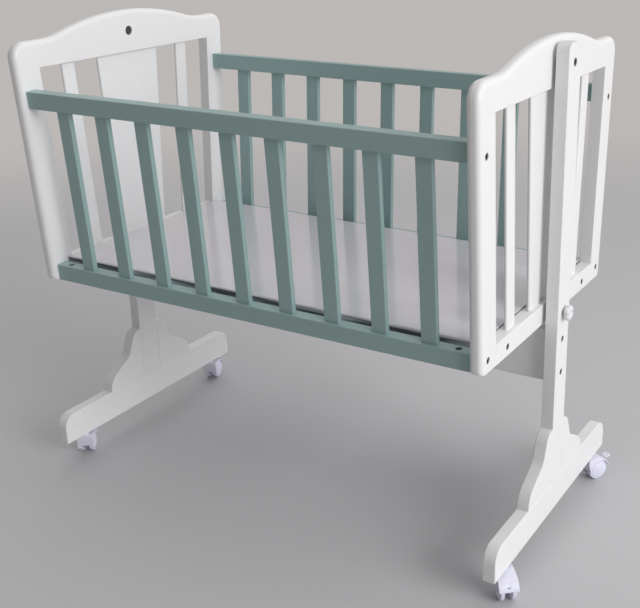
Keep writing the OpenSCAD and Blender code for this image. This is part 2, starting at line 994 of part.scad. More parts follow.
caster(2);  // far_front_caster
caster(3);  // far_back_caster
wheels(0);  // near_front_wheels
wheels(1);  // near_back_wheels
wheels(2);  // far_front_wheels
wheels(3);  // far_back_wheels
brake(1);  // near_back_brake
brake(3);  // far_back_brake
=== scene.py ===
"""The finish of a swinging cradle on a wheeled stand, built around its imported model.

Everything is in metres, in the model's own frame: X along the cradle, Y across it and Z up, with
the origin on the floor. "near" is the +X end and "front" the -Y side.
"""

import json
import logging
import math
from collections.abc import Callable, Iterable, Sequence
from dataclasses import dataclass, field
from enum import Enum
from typing import TypeVar

import bmesh
import bpy
from mathutils import Matrix, Vector

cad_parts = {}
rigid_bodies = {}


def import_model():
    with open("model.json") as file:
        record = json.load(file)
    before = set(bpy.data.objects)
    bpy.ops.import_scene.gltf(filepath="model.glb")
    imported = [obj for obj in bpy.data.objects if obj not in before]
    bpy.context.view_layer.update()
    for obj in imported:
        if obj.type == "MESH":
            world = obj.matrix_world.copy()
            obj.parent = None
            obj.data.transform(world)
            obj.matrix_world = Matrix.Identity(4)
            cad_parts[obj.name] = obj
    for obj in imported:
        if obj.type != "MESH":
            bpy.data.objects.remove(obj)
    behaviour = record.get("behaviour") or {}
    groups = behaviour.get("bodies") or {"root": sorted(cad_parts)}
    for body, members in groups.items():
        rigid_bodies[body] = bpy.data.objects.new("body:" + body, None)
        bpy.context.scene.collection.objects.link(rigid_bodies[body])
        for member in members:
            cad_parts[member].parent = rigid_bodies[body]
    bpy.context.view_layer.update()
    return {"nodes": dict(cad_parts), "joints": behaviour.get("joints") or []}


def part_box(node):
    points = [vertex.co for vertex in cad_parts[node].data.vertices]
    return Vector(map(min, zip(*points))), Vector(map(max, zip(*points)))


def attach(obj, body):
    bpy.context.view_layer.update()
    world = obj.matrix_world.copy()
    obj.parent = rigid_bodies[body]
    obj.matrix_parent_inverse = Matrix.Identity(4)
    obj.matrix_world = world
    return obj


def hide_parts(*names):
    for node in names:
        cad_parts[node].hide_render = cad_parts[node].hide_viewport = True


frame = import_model()

log = logging.getLogger("cradle")

MM = 0.001
X_AXIS, Y_AXIS, Z_AXIS = range(3)

# Decimals kept of a length that is read from the model.
LENGTH_DIGITS = 5
# Doubled vertices lie closer than WELD, and places that should agree lie closer than CLOSE.
WELD = 0.002 * MM
CLOSE = 0.1 * MM
# Neighbouring faces count as one flat side under FLAT, and as a hard edge over CREASE.
FLAT = math.radians(0.2)
CREASE = math.radians(36)
# A face looks along an axis where the axis part of its normal is over SQUARE, and slopes under SLOPED.
SQUARE = 0.9
SLOPED = 0.5
# Roundings up to FINE need no band, a band is BAND radii wide, and takes BAND_SHARE of an edge at most.
FINE = 1.2 * MM
BAND = 1.12
BAND_SHARE = 0.45

Colour = tuple[float, float, float]
EdgeRule = Callable[[bmesh.types.BMEdge], float]
Pick = Callable[[Iterable[float]], float]
Element = TypeVar("Element")


class Grain(Enum):
    """The way a board's fibres run, as the axis a grain pattern is drawn out along."""

    ALONG_X = X_AXIS
    ALONG_Y = Y_AXIS
    ALONG_Z = Z_AXIS


class Joining(Enum):
    """What a closed tool does to the piece that it meets."""

    CUT = "DIFFERENCE"
    ADD = "UNION"


class Outline(Enum):
    """What a ring of a turned or moulded piece looks like from its axis."""

    ROUND = "round"
    HEX = "hex"
    LOBED = "lobed"
    THREAD = "thread"


# ------------------------------------------------------------------------------------ shader parts
class Wiring:
    """A node tree with short ways to add and join its nodes."""

    def __init__(self, tree: bpy.types.NodeTree) -> None:
        """Starts from an empty tree.

        Args:
            tree: the material's, group's or world's own node tree.
        """
        self.tree = tree
        tree.nodes.clear()

    def add(self, kind: str, **settings: object) -> bpy.types.Node:
        """Adds a node.

        Args:
            kind: the node's type name.
            settings: the node's own properties.

        Returns:
            The new node.
        """
        node = self.tree.nodes.new(kind)
        for key, value in settings.items():
            setattr(node, key, value)
        return node

    def join(self, source: bpy.types.NodeSocket, target: bpy.types.NodeSocket) -> None:
        """Links an output to an input."""
        self.tree.links.new(source, target)

    def sum(self, kind: str, first: object, second: object) -> bpy.types.NodeSocket:
        """Adds a Math node.

        Args:
            kind: the operation.
            first: an output socket or a number.
            second: an output socket or a number.

        Returns:
            The result's socket.
        """
        node = self.add("ShaderNodeMath", operation=kind)
        for slot, value in zip(node.inputs, (first, second)):
            if isinstance(value, bpy.types.NodeSocket):
                self.join(value, slot)
            else:
                slot.default_value = value
        return node.outputs[0]

    def noise(self, vector: bpy.types.NodeSocket, scale: float, detail: float) -> bpy.types.NodeSocket:
        """Adds a Noise Texture.

        Args:
            vector: where it is read.
            scale: features in a metre.
            detail: octaves of finer noise.

        Returns:
            The value's socket.
        """
        node = self.add("ShaderNodeTexNoise")
        self.join(vector, node.inputs["Vector"])
        node.inputs["Scale"].default_value = scale
        node.inputs["Detail"].default_value = detail
        return node.outputs[0]

    def height_of_normal(self) -> bpy.types.NodeSocket:
        """Gives the upward part of the surface's direction.

        Returns:
            The socket of a value from -1 to 1.
        """
        parts = self.add("ShaderNodeSeparateXYZ")
        self.join(self.add("ShaderNodeNewGeometry").outputs["Normal"], parts.inputs[0])
        return parts.outputs["Z"]

    def scaled(self, vector: bpy.types.NodeSocket, scale: Sequence[float]) -> bpy.types.NodeSocket:
        """Scales a vector by axis, so that a pattern read there is drawn out where the scale is small.

        Args:
            vector: the vector.
            scale: its scale by axis.

        Returns:
            The scaled vector's socket.
        """
        node = self.add("ShaderNodeMapping")
        node.inputs["Scale"].default_value = scale
        self.join(vector, node.inputs["Vector"])
        return node.outputs[0]

    def ramp(self, value: bpy.types.NodeSocket, low: float, high: float) -> bpy.types.NodeSocket:
        """Stretches low..high of a value to 0..1, smoothly.

        Args:
            value: the socket to read.
            low: the value that becomes 0.
            high: the value that becomes 1.

        Returns:
            The result's socket.
        """
        node = self.add("ShaderNodeMapRange", interpolation_type="SMOOTHSTEP")
        self.join(value, node.inputs["Value"])
        node.inputs["From Min"].default_value = low
        node.inputs["From Max"].default_value = high
        return node.outputs[0]

    def blend(self, mask: bpy.types.NodeSocket, under: object, over: Colour) -> bpy.types.NodeSocket:
        """Lays a colour over another through a mask.

        Args:
            mask: how much of the upper colour shows.
            under: a colour or a socket.
            over: the upper colour.

        Returns:
            The mixed colour's socket.
        """
        node = self.add("ShaderNodeMix", data_type="RGBA")
        self.join(mask, node.inputs["Factor"])
        lower, upper = [s for s in node.inputs if s.type == "RGBA"][:2]
        if isinstance(under, bpy.types.NodeSocket):
            self.join(under, lower)
        else:
            lower.default_value = (*under, 1)
        upper.default_value = (*over, 1)
        return next(s for s in node.outputs if s.type == "RGBA")

    def mixed(
        self, mask: bpy.types.NodeSocket, under: bpy.types.NodeSocket, over: bpy.types.NodeSocket
    ) -> bpy.types.NodeSocket:
        """Lays a shader over another through a mask.

        Args:
            mask: how much of the upper shader shows.
            under: the lower shader.
            over: the upper shader.

        Returns:
            The mixed shader's socket.
        """
        node = self.add("ShaderNodeMixShader")
        for source, slot in zip((mask, under, over), node.inputs):
            self.join(source, slot)
        return node.outputs[0]


class Effect:
    """A shader node group with named inputs and outputs, built once and placed in many materials."""

    def __init__(self, name: str, inputs: dict[str, float | None], outputs: Sequence[str]) -> None:
        """Makes the empty group.

        Args:
            name: the group's name.
            inputs: the inputs' names and defaults, None for a vector.
            outputs: the outputs' names.
        """
        self.group = bpy.data.node_groups.new(name, "ShaderNodeTree")
        for label, default in inputs.items():
            kind = "NodeSocketVector" if default is None else "NodeSocketFloat"
            item = self.group.interface.new_socket(label, in_out="INPUT", socket_type=kind)
            if default is not None:
                item.default_value = default
        for label in outputs:
            self.group.interface.new_socket(label, in_out="OUTPUT", socket_type="NodeSocketFloat")
        self.wiring = Wiring(self.group)
        self.given = self.wiring.add("NodeGroupInput").outputs
        self.result = self.wiring.add("NodeGroupOutput").inputs

    def place(self, wiring: Wiring, values: dict[str, object]) -> bpy.types.NodeOutputs:
        """Puts the group in a material.

        Args:
            wiring: the material's wiring.
            values: numbers or sockets for the group's inputs.

        Returns:
            The placed group's outputs.
        """
        node = wiring.add("ShaderNodeGroup", node_tree=self.group)
        for label, value in values.items():
            if isinstance(value, bpy.types.NodeSocket):
                wiring.join(value, node.inputs[label])
            else:
                node.inputs[label].default_value = value
        return node.outputs


@dataclass
class Effects:
    """The shared surface effects: board grain, sprayed film, worn edges with painted highlights, and
    settled dust.

    A scale is in features to a metre, and a range is of the noise's values.
    """

    fibre_scale: float = 420.0
    band_scale: float = 34.0
    fibre_share: float = 0.45
    pebble_scale: float = 750.0
    sheen_scale: float = 9.0
    sheen_range: tuple[float, float] = (0.3, 0.7)
    wear_and_highlight_scale: float = 60.0
    wear_and_highlight_range: tuple[float, float] = (0.42, 0.66)
    drift_scale: float = 26.0
    drift_range: tuple[float, float] = (0.35, 0.75)
    level_range: tuple[float, float] = (0.6, 1.0)

    def __post_init__(self) -> None:
        """Builds the four groups."""
        self.grain = self._grain()
        self.film = self._film()
        self.wear_and_highlight = self._wear_and_highlight()
        self.dust = self._dust()

    def _grain(self) -> Effect:
        """Fibres that show faintly through paint: fine streaks on broad bands.

        Returns:
            The group.
        """
        made = Effect("board grain", {"Vector": None, "Depth": 1.0}, ("Tone", "Height"))
        w = made.wiring
        fibres = w.noise(made.given["Vector"], self.fibre_scale, detail=3.0)
        bands = w.noise(made.given["Vector"], self.band_scale, detail=2.0)
        streaks = w.sum("MULTIPLY", fibres, self.fibre_share)
        broad = w.sum("MULTIPLY", bands, 1 - self.fibre_share)
        w.join(w.sum("ADD", streaks, broad), made.result["Tone"])
        w.join(w.sum("MULTIPLY", fibres, made.given["Depth"]), made.result["Height"])
        return made

    def _film(self) -> Effect:
        """The gentle pebbling and uneven sheen of a sprayed or moulded skin.

        Returns:
            The group.
        """
        made = Effect("surface film", {"Vector": None, "Pebble": 1.0}, ("Height", "Sheen"))
        w = made.wiring
        fine = w.noise(made.given["Vector"], self.pebble_scale, detail=1.0)
        broad = w.noise(made.given["Vector"], self.sheen_scale, detail=2.0)
        w.join(w.sum("MULTIPLY", fine, made.given["Pebble"]), made.result["Height"])
        w.join(w.ramp(broad, *self.sheen_range), made.result["Sheen"])
        return made

    def _wear_and_highlight(self) -> Effect:
        """The rounded edges in broken patches: wear where hands and cloths have rubbed them, and a
        painted highlight where a finish's edge colour is lighter, as on the sage.

        Returns:
            The group.
        """
        made = Effect("handled edges", {"Vector": None, "Edge": 0.0, "Amount": 0.5}, ("Mask",))
        w = made.wiring
        broken = w.ramp(w.noise(made.given["Vector"], self.wear_and_highlight_scale, detail=4.0), *self.wear_and_highlight_range)
        mask = w.sum("MULTIPLY", w.sum("MULTIPLY", broken, made.given["Edge"]), made.given["Amount"])
        w.join(mask, made.result["Mask"])
        return made

    def _dust(self) -> Effect:
        """Dust that settles on faces that look up, in soft drifts.

        Returns:
            The group.
        """
        made = Effect("settled dust", {"Vector": None, "Amount": 0.2}, ("Mask",))
        w = made.wiring
        up = w.ramp(w.height_of_normal(), *self.level_range)
        drift = w.ramp(w.noise(made.given["Vector"], self.drift_scale, detail=5.0), *self.drift_range)
        mask = w.sum("MULTIPLY", w.sum("MULTIPLY", up, drift), made.given["Amount"])
        w.join(mask, made.result["Mask"])
        return made


@dataclass(frozen=True)
class Finish:
    """What every finish has: a name, a colour and how it shines."""

    name: str
    colour: Colour
    roughness: float = 0.4
    # The rounded edges' colour: darker wear on most finishes, a lighter painted highlight on the sage.
    worn_and_highlit: Colour = (0.8, 0.8, 0.8)
    wear_and_highlight: float = 0.3
    dust: float = 0.12
    pebble: float = 1.0
    sheen_shift: float = 0.06
    relief: float = 0.04 * MM
    grain_depth: float = 0.0
    grain_tone: float = 0.0
    grain: Grain = Grain.ALONG_Z
    metallic: float = 0.0
    specular: float = 0.5
    coat: float = 0.0
    coat_roughness: float = 0.1
    subsurface: float = 0.0
    # The colour of the painted shade on a lying board's upright faces; None leaves them unshaded.
    side: Colour | None = None

    # What all finishes share: a pattern's scale along the grain, the ranges of the noises' values,
    # the scale of the painted shade's streaks on a lying board's sides, and the dust's looks.
    DRAWN = 0.06
    TONE_RANGE = (0.3, 0.7)
    UPRIGHT_RANGE = (0.6, 0.3)
    SHADE_STREAK_SCALE = 110.0
    SHADE_STREAK_RANGE = (0.64, 0.42)
    DUST_COLOUR = (0.62, 0.61, 0.6)
    DUST_ROUGHNESS = 0.6
    SCATTER = 2 * MM

    def drawn_along(self, *axes: int) -> list[float]:
        """Gives the scale by axis that draws a pattern out along some axes."""
        return [self.DRAWN if axis in axes else 1.0 for axis in range(3)]

    def painted_shade_on_side(
        self, w: Wiring, place: bpy.types.NodeSocket, colour: bpy.types.NodeSocket
    ) -> bpy.types.NodeSocket:
        """Paints shade on the upright faces of a lying board, in long level streaks, where its edge lies
        in the dark gap beside a rail.

        Args:
            w: the material's wiring.
            place: the place on the object.
            colour: the colour so far.

        Returns:
            The new colour.
        """
        upright = w.ramp(w.sum("ABSOLUTE", w.height_of_normal(), 0.0), *self.UPRIGHT_RANGE)
        level = w.scaled(place, self.drawn_along(X_AXIS, Y_AXIS))
        # Breaks the painted shade into long level streaks.
        streaks = w.ramp(w.noise(level, self.SHADE_STREAK_SCALE, detail=2.0), *self.SHADE_STREAK_RANGE)
        return w.blend(w.sum("MULTIPLY", upright, streaks), colour, self.side)

    def material(self, effects: Effects) -> bpy.types.Material:
        """Builds the material.

        Args:
            effects: the shared shader groups.

        Returns:
            The new material.
        """
        made = bpy.data.materials.new(self.name)
        made.use_nodes = True
        w = Wiring(made.node_tree)
        place = w.add("ShaderNodeTexCoord").outputs["Object"]
        fibres = w.scaled(place, self.drawn_along(self.grain.value))
        edge = w.add("ShaderNodeAttribute", attribute_name="eased").outputs["Fac"]

        grain = effects.grain.place(w, {"Vector": fibres, "Depth": self.grain_depth})
        film = effects.film.place(w, {"Vector": place, "Pebble": self.pebble})
        wear_and_highlight = effects.wear_and_highlight.place(w, {"Vector": place, "Edge": edge, "Amount": self.wear_and_highlight})
        dust = effects.dust.place(w, {"Vector": place, "Amount": self.dust})

        darker = tuple(c * (1 - self.grain_tone) for c in self.colour)
        colour = w.blend(w.ramp(grain["Tone"], *self.TONE_RANGE), darker, self.colour)
        # The edge colour marks wear, and on the sage paint it is a painted highlight.
        colour = w.blend(wear_and_highlight["Mask"], colour, self.worn_and_highlit)
        # Painted shade on the upright faces, in streaks.
        if self.side:
            colour = self.painted_shade_on_side(w, place, colour)
        colour = w.blend(dust["Mask"], colour, self.DUST_COLOUR)
        rough = w.sum("MULTIPLY_ADD", film["Sheen"], self.sheen_shift)
        rough.node.inputs[2].default_value = self.roughness - self.sheen_shift / 2
        rough = w.sum("ADD", rough, w.sum("MULTIPLY", dust["Mask"], self.DUST_ROUGHNESS))
        bump = w.add("ShaderNodeBump")
        bump.inputs["Distance"].default_value = self.relief
        w.join(w.sum("ADD", grain["Height"], film["Height"]), bump.inputs["Height"])

        shader = w.add("ShaderNodeBsdfPrincipled")
        w.join(colour, shader.inputs["Base Color"])
        w.join(rough, shader.inputs["Roughness"])
        w.join(bump.outputs["Normal"], shader.inputs["Normal"])
        for socket, value in {
            "Metallic": self.metallic, "Specular IOR Level": self.specular, "Coat Weight": self.coat,
            "Coat Roughness": self.coat_roughness, "Subsurface Weight": self.subsurface,
            "Subsurface Scale": self.SCATTER,
        }.items():
            shader.inputs[socket].default_value = value
        w.join(shader.outputs[0], w.add("ShaderNodeOutputMaterial").inputs["Surface"])
        return made


WHITE: Colour = (0.84, 0.835, 0.84)
SAGE: Colour = (0.31, 0.45, 0.44)


def white_paint(grain: Grain) -> Finish:
    """The satin white of the end panels and the stand, for a board whose fibres run one way.

    Args:
        grain: the way the fibres run.

    Returns:
        The finish.
    """
    return Finish(
        f"white paint {grain.name.lower()}", WHITE, roughness=0.36, worn_and_highlit=(0.78, 0.765, 0.75), wear_and_highlight=0.25,
        grain_depth=0.35, grain_tone=0.012, grain=grain, pebble=0.8,
    )


def sage_paint(grain: Grain) -> Finish:
    """The satin sage green of the side panels, whose lighter edge colour is a painted highlight on the
    rounded edges.

    Args:
        grain: the way the fibres run.

    Returns:
        The finish.
    """
    return Finish(
        f"sage paint {grain.name.lower()}", SAGE, roughness=0.34, worn_and_highlit=(0.40, 0.54, 0.52), wear_and_highlight=0.35,
        grain_depth=0.5, grain_tone=0.045, grain=grain, pebble=0.8,
    )


# The deck's side colour is painted shade: it darkens the board's upright edges in streaks, where they lie
# in the dark gap beside the rails.
DECK_LAMINATE = Finish(
    "deck laminate", (0.70, 0.67, 0.71), roughness=0.16, worn_and_highlit=(0.6, 0.58, 0.6), wear_and_highlight=0.3, dust=0.03,
    grain_depth=0.2, grain_tone=0.02, grain=Grain.ALONG_X, relief=0.01 * MM, coat=0.9,
    coat_roughness=0.09, side=(0.12, 0.11, 0.11),
)
DARK_STEEL = Finish(
    "dark steel", (0.13, 0.125, 0.115), roughness=0.42, worn_and_highlit=(0.3, 0.29, 0.28), wear_and_highlight=0.7, dust=0.1,
    metallic=0.9, relief=0.02 * MM,
)
ZINC_STEEL = Finish(
    "zinc steel", (0.55, 0.55, 0.56), roughness=0.36, worn_and_highlit=(0.7, 0.7, 0.7), wear_and_highlight=0.5, metallic=1.0,
    relief=0.02 * MM, sheen_shift=0.14,
)
KNOB_PLASTIC = Finish(
    "knob plastic", (0.78, 0.77, 0.80), roughness=0.3, worn_and_highlit=(0.78, 0.78, 0.84), pebble=0.5,
    subsurface=0.1, relief=0.03 * MM,
)
WASHER_NYLON = Finish("washer nylon", (0.78, 0.78, 0.76), roughness=0.45, worn_and_highlit=(0.7, 0.7, 0.7))
HOOD_PLASTIC = Finish(
    "hood plastic", (0.80, 0.80, 0.92), roughness=0.33, worn_and_highlit=(0.82, 0.82, 0.90), pebble=0.6,
    subsurface=0.12, dust=0.2,
)
WHEEL_PLASTIC = Finish(
    "wheel plastic", (0.78, 0.78, 0.92), roughness=0.38, worn_and_highlit=(0.7, 0.7, 0.8), wear_and_highlight=0.6, pebble=0.8,
    subsurface=0.12, dust=0.2,
)


class Shelf:
    """Keeps one material for each finish."""

    def __init__(self) -> None:
        """Builds the shared effects first."""
        self.effects = Effects()
        self.made: dict[str, bpy.types.Material] = {}

    def get(self, finish: Finish) -> bpy.types.Material:
        """Gives the finish's material, built on first use.

        Args:
            finish: the finish.

        Returns:
            Its material.
        """
        if finish.name not in self.made:
            self.made[finish.name] = finish.material(self.effects)
        return self.made[finish.name]


# ------------------------------------------------------------------------------------ mesh tools
def new_object(name: str, mesh: bpy.types.Mesh) -> bpy.types.Object:
    """Links a mesh to the scene as an object at the origin.

    Args:
        name: the object's name.
        mesh: its mesh.

    Returns:
        The new object.
    """
    made = bpy.data.objects.new(name, mesh)
    bpy.context.scene.collection.objects.link(made)
    return made


def plain_mesh(source: bpy.types.Object) -> bpy.types.Mesh:
    """Gives the evaluated object's mesh, and takes its modifiers off.

    Args:
        source: the object.

    Returns:
        The mesh, as the modifiers made it.
    """
    bpy.context.view_layer.update()
    graph = bpy.context.evaluated_depsgraph_get()
    mesh = bpy.data.meshes.new_from_object(source.evaluated_get(graph))
    source.modifiers.clear()
    return mesh


def mark_eased(mesh: bpy.types.Mesh) -> None:
    """Writes the attribute that says which vertices lie on a rounded edge, and creases hard edges.

    Args:
        mesh: a mesh whose rounded faces have material index 1.
    """
    bm = bmesh.new()
    bm.from_mesh(mesh)
    layer = bm.verts.layers.float.new("eased")
    for vertex in bm.verts:
        vertex[layer] = float(all(f.material_index == 1 for f in vertex.link_faces))
    for face in bm.faces:
        face.material_index = 0
        face.smooth = True
    for edge in bm.edges:
        edge.smooth = len(edge.link_faces) == 2 and edge.calc_face_angle() < CREASE
    bm.to_mesh(mesh)
    bm.free()


def linked_groups(
    items: Iterable[Element], near: Callable[[Element], Iterable[Element]]
) -> list[list[Element]]:
    """Sorts items into groups that hang together, in an order that is the same each run.

    Args:
        items: the items.
        near: gives the items next to an item.

    Returns:
        The groups.
    """
    left = dict.fromkeys(items)
    groups = []
    while left:
        group = [left.popitem()[0]]
        for item in group:
            for other in near(item):
                if other in left:
                    del left[other]
                    group.append(other)
        groups.append(group)
    return groups


def in_plane(face: bmesh.types.BMFace) -> list[bmesh.types.BMFace]:
    """Gives the faces next to a face that lie in its plane."""
    around = (other for edge in face.edges for other in edge.link_faces)
    return [other for other in around if other.normal.angle(face.normal, math.pi) < FLAT]


def loops_round(region: list[bmesh.types.BMFace]) -> list[list[bmesh.types.BMVert]]:
    """Gives a region's boundary loops in order, each with the region on its left.

    Args:
        region: the region's faces.

    Returns:
        Each loop's vertices.
    """
    inside = set(region)
    onward: dict[bmesh.types.BMVert, bmesh.types.BMVert] = {}
    for face in region:
        for loop in face.loops:
            if not any(f in inside for f in loop.edge.link_faces if f is not face):
                onward[loop.vert] = loop.link_loop_next.vert
    loops = []
    while onward:
        start, at = onward.popitem()
        ring = [start]
        while at is not start:
            ring.append(at)
            at = onward.pop(at)
        loops.append(ring)
    return loops


def turn_at(ring: list[bmesh.types.BMVert], i: int) -> float:
    """Gives the angle that an outline turns through at its i-th vertex."""
    here, after = ring[i].co, ring[(i + 1) % len(ring)].co
    return (here - ring[i - 1].co).angle(after - here)


def wide_edges(ring: list[bmesh.types.BMVert], radii: list[float]) -> list[bool]:
    """Says which edges of an outline get a band: the wide roundings and what runs smoothly on.

    Args:
        ring: the outline's vertices.
        radii: the rounding of the edge after each vertex.

    Returns:
        One flag for each edge.
    """
    wide = [r > FINE for r in radii]
    # Twice, because a smooth run may pass the outline's first vertex.
    for _ in range(2):
        for step in (1, -1):
            for k in range(len(ring)) if step > 0 else reversed(range(len(ring))):
                corner = k if step > 0 else (k + 1) % len(ring)
                if wide[(k - step) % len(ring)] and turn_at(ring, corner) < CREASE:
                    wide[k] = True
    return wide


def band_region(bm: bmesh.types.BMesh, region: list[bmesh.types.BMFace], rule: EdgeRule) -> None:
    """Remakes a flat region that has holes with a narrow band of quads inside its outline.

    A rounding then slides in along short, square edges instead of the long ones that join the holes
    to the outline. The band ends square where a rounding ends.

    Args:
        bm: the mesh.
        region: the region's faces.
        rule: gives the rounding radius of an edge.
    """
    normal = region[0].normal.copy()
    loops = loops_round(region)
    outer = max(loops, key=lambda ring: max((v.co - ring[0].co).length for v in ring))
    sides = [bm.edges.get((v, outer[(i + 1) % len(outer)])) for i, v in enumerate(outer)]
    hard = [e.is_manifold and e.calc_face_angle() > CREASE and e.is_convex for e in sides]
    radii = [rule(e) if rounded else 0.0 for e, rounded in zip(sides, hard)]
    if max(radii) < FINE:
        return
    wide = wide_edges(outer, radii)
    width = max(radii) * BAND
    count = len(outer)
    ends = [i for i in range(count) if wide[i - 1] != wide[i]]
    partner: dict[bmesh.types.BMVert, bmesh.types.BMVert] = {}
    for i in ends:
        narrow = sides[i - 1] if wide[i] else sides[i]
        share = width / math.sin(turn_at(outer, i)) / narrow.calc_length()
        if share > BAND_SHARE:
            return
        partner[outer[i]] = bmesh.utils.edge_split(narrow, outer[i], share)[1]
    inside = set(region)
    touched = dict.fromkeys(e for f in region for e in f.edges)
    shared = [e for e in touched if all(f in inside for f in e.link_faces)]
    bmesh.ops.delete(bm, geom=region, context="FACES_ONLY")
    bmesh.ops.delete(bm, geom=shared, context="EDGES")
    for i, vertex in enumerate(outer):
        if wide[i - 1] and wide[i]:
            before = (vertex.co - outer[i - 1].co).normalized()
            after = (outer[(i + 1) % count].co - vertex.co).normalized()
            first, second = normal.cross(before), normal.cross(after)
            shift = (first + second) * width / (1 + first.dot(second))
            partner[vertex] = bm.verts.new(vertex.co + shift)
    rims = []
    for i, vertex in enumerate(outer):
        onward = outer[(i + 1) % count]
        if wide[i]:
            bm.faces.new((vertex, onward, partner[onward], partner[vertex])).normal_update()
            rims.append(bm.edges.get((partner[vertex], partner[onward])))
            continue
        chain = [partner.get(vertex, vertex), partner.get(onward, onward)]
        rims.append(bm.edges.get(chain) or bm.edges.get((chain[1], chain[0])))
    for ring in loops:
        if ring is not outer:
            rims += [bm.edges.get((v, ring[i - 1])) for i, v in enumerate(ring)]
    filled = bmesh.ops.triangle_fill(bm, use_beauty=True, use_dissolve=False, edges=rims, normal=normal)
    for face in (g for g in filled["geom"] if isinstance(g, bmesh.types.BMFace)):
        face.normal_update()
        if face.normal.dot(normal) < 0:
            face.normal_flip()


def cut_edges(bm: bmesh.types.BMesh, axis: int, at: float) -> None:
    """Puts a vertex on every edge that crosses a plane, so that its two parts can be rounded apart.

    Args:
        bm: the mesh.
        axis: the plane's normal, as 0, 1 or 2.
        at: the plane's place on that axis.
    """
    for edge in list(bm.edges):
        first, second = (v.co[axis] - at for v in edge.verts)
        if first * second < 0 and wall_of(edge) is not None:
            bmesh.utils.edge_split(edge, edge.verts[0], first / (first - second))


def round_edges(
    obj: bpy.types.Object, rule: EdgeRule, paint: bpy.types.Material, steps: int = 3,
    cuts: Sequence[tuple[int, float]] = (),
) -> None:
    """Rounds an object's edges and gives it its finish.

    Args:
        obj: the object, with a joined mesh.
        rule: gives the rounding radius of an edge, 0 to leave it.
        paint: the material.
        steps: faces across a rounding.
        cuts: planes, as axis and place, where a rounding may change along a straight edge.
    """
    bm = bmesh.new()
    bm.from_mesh(obj.data)
    for axis, at in cuts:
        cut_edges(bm, axis, at)
    for region in linked_groups(bm.faces, in_plane):
        if len(region) > 1:
            band_region(bm, region, rule)
    weight = bm.edges.layers.float.new("bevel_weight_edge")
    widest = 0.0
    radii: dict[bmesh.types.BMEdge, float] = {}
    for edge in bm.edges:
        if len(edge.link_faces) != 2 or edge.calc_face_angle() < CREASE:
            continue
        radius = rule(edge) if edge.is_convex else 0.0
        radii[edge] = radius
        widest = max(widest, radius)
    for edge, radius in radii.items():
        edge[weight] = radius / widest if widest else 0.0
    bm.to_mesh(obj.data)
    bm.free()
    # The rounded faces take the second of two like slots, so that mark_eased can tell them.
    obj.data.materials.clear()
    for _ in range(2):
        obj.data.materials.append(paint)
    if widest:
        ease = obj.modifiers.new("ease", "BEVEL")
        ease.width = widest
        ease.segments = steps
        ease.limit_method = "WEIGHT"
        ease.material = 1
        ease.use_clamp_overlap = False
        ease.loop_slide = False
        ease.miter_outer = "MITER_SHARP"
    obj.data = plain_mesh(obj)
    obj.data.materials.pop()
    mark_eased(obj.data)
    level = obj.modifiers.new("level", "WEIGHTED_NORMAL")
    level.keep_sharp = True
    obj.data = plain_mesh(obj)


def join_flats(mesh: bpy.types.Mesh) -> None:
    """Merges a mesh's doubled vertices and joins the faces of each flat side.

    Args:
        mesh: the mesh to change.
    """
    bm = bmesh.new()
    bm.from_mesh(mesh)
    bmesh.ops.remove_doubles(bm, verts=bm.verts, dist=WELD)
    bmesh.ops.dissolve_limit(bm, angle_limit=FLAT, verts=bm.verts, edges=bm.edges)
    bm.to_mesh(mesh)
    bm.free()


def prism(name: str, outline: Sequence[tuple[float, float]], half: float) -> bpy.types.Object:
    """Makes a closed prism.

    Args:
        name: its name.
        outline: its corners in X and Z, in order.
        half: how far it reaches to both sides along Y.

    Returns:
        The new object.
    """
    bm = bmesh.new()
    rims = [[bm.verts.new((x, y, z)) for x, z in outline] for y in (-half, half)]
    bm.faces.new(rims[0])
    bm.faces.new(rims[1])
    for i in range(len(outline)):
        bm.faces.new((rims[0][i - 1], rims[0][i], rims[1][i], rims[1][i - 1]))
    bmesh.ops.recalc_face_normals(bm, faces=bm.faces)
    mesh = bpy.data.meshes.new(name)
    bm.to_mesh(mesh)
    bm.free()
    return new_object(name, mesh)


def carve(obj: bpy.types.Object, tools: Sequence[bpy.types.Object], how: Joining = Joining.CUT) -> None:
    """Cuts closed tools out of an object, or joins them to it, and takes the tools away.

    Args:
        obj: the object to change.
        tools: the tools.
        how: what the tools do to it.
    """
    for tool in tools:
        cut = obj.modifiers.new("carve", "BOOLEAN")
        cut.operation = how.value
        cut.object = tool
        cut.solver = "EXACT"
    obj.data = plain_mesh(obj)
    for tool in tools:
        bpy.data.objects.remove(tool)
    join_flats(obj.data)


def node_copy(node: str, name: str) -> bpy.types.Object:
    """Copies a CAD node as a joined mesh with whole flat faces.

    Args:
        node: the CAD node.
        name: the new piece's name.

    Returns:
        The new object.
    """
    mesh = frame["nodes"][node].data.copy()
    mesh.name = name
    join_flats(mesh)
    return new_object(name, mesh)


def corner_of(spots: Iterable[bmesh.types.BMVert | bpy.types.MeshVertex], pick: Pick) -> Vector:
    """Gives the lowest corner of some vertices' box with min, and the highest with max."""
    places = [v.co for v in spots]
    return Vector([pick(place[axis] for place in places) for axis in range(3)])


def solids_of(node: str) -> list[tuple[Vector, Vector]]:
    """Finds the separate solids of a CAD node.

    Args:
        node: the CAD node.

    Returns:
        Each solid's lowest and highest corner.
    """
    bm = bmesh.new()
    bm.from_mesh(frame["nodes"][node].data)
    bmesh.ops.remove_doubles(bm, verts=bm.verts, dist=WELD)
    solids = linked_groups(bm.verts, lambda vertex: [e.other_vert(vertex) for e in vertex.link_edges])
    boxes = [(corner_of(solid, min), corner_of(solid, max)) for solid in solids]
    bm.free()
    return boxes


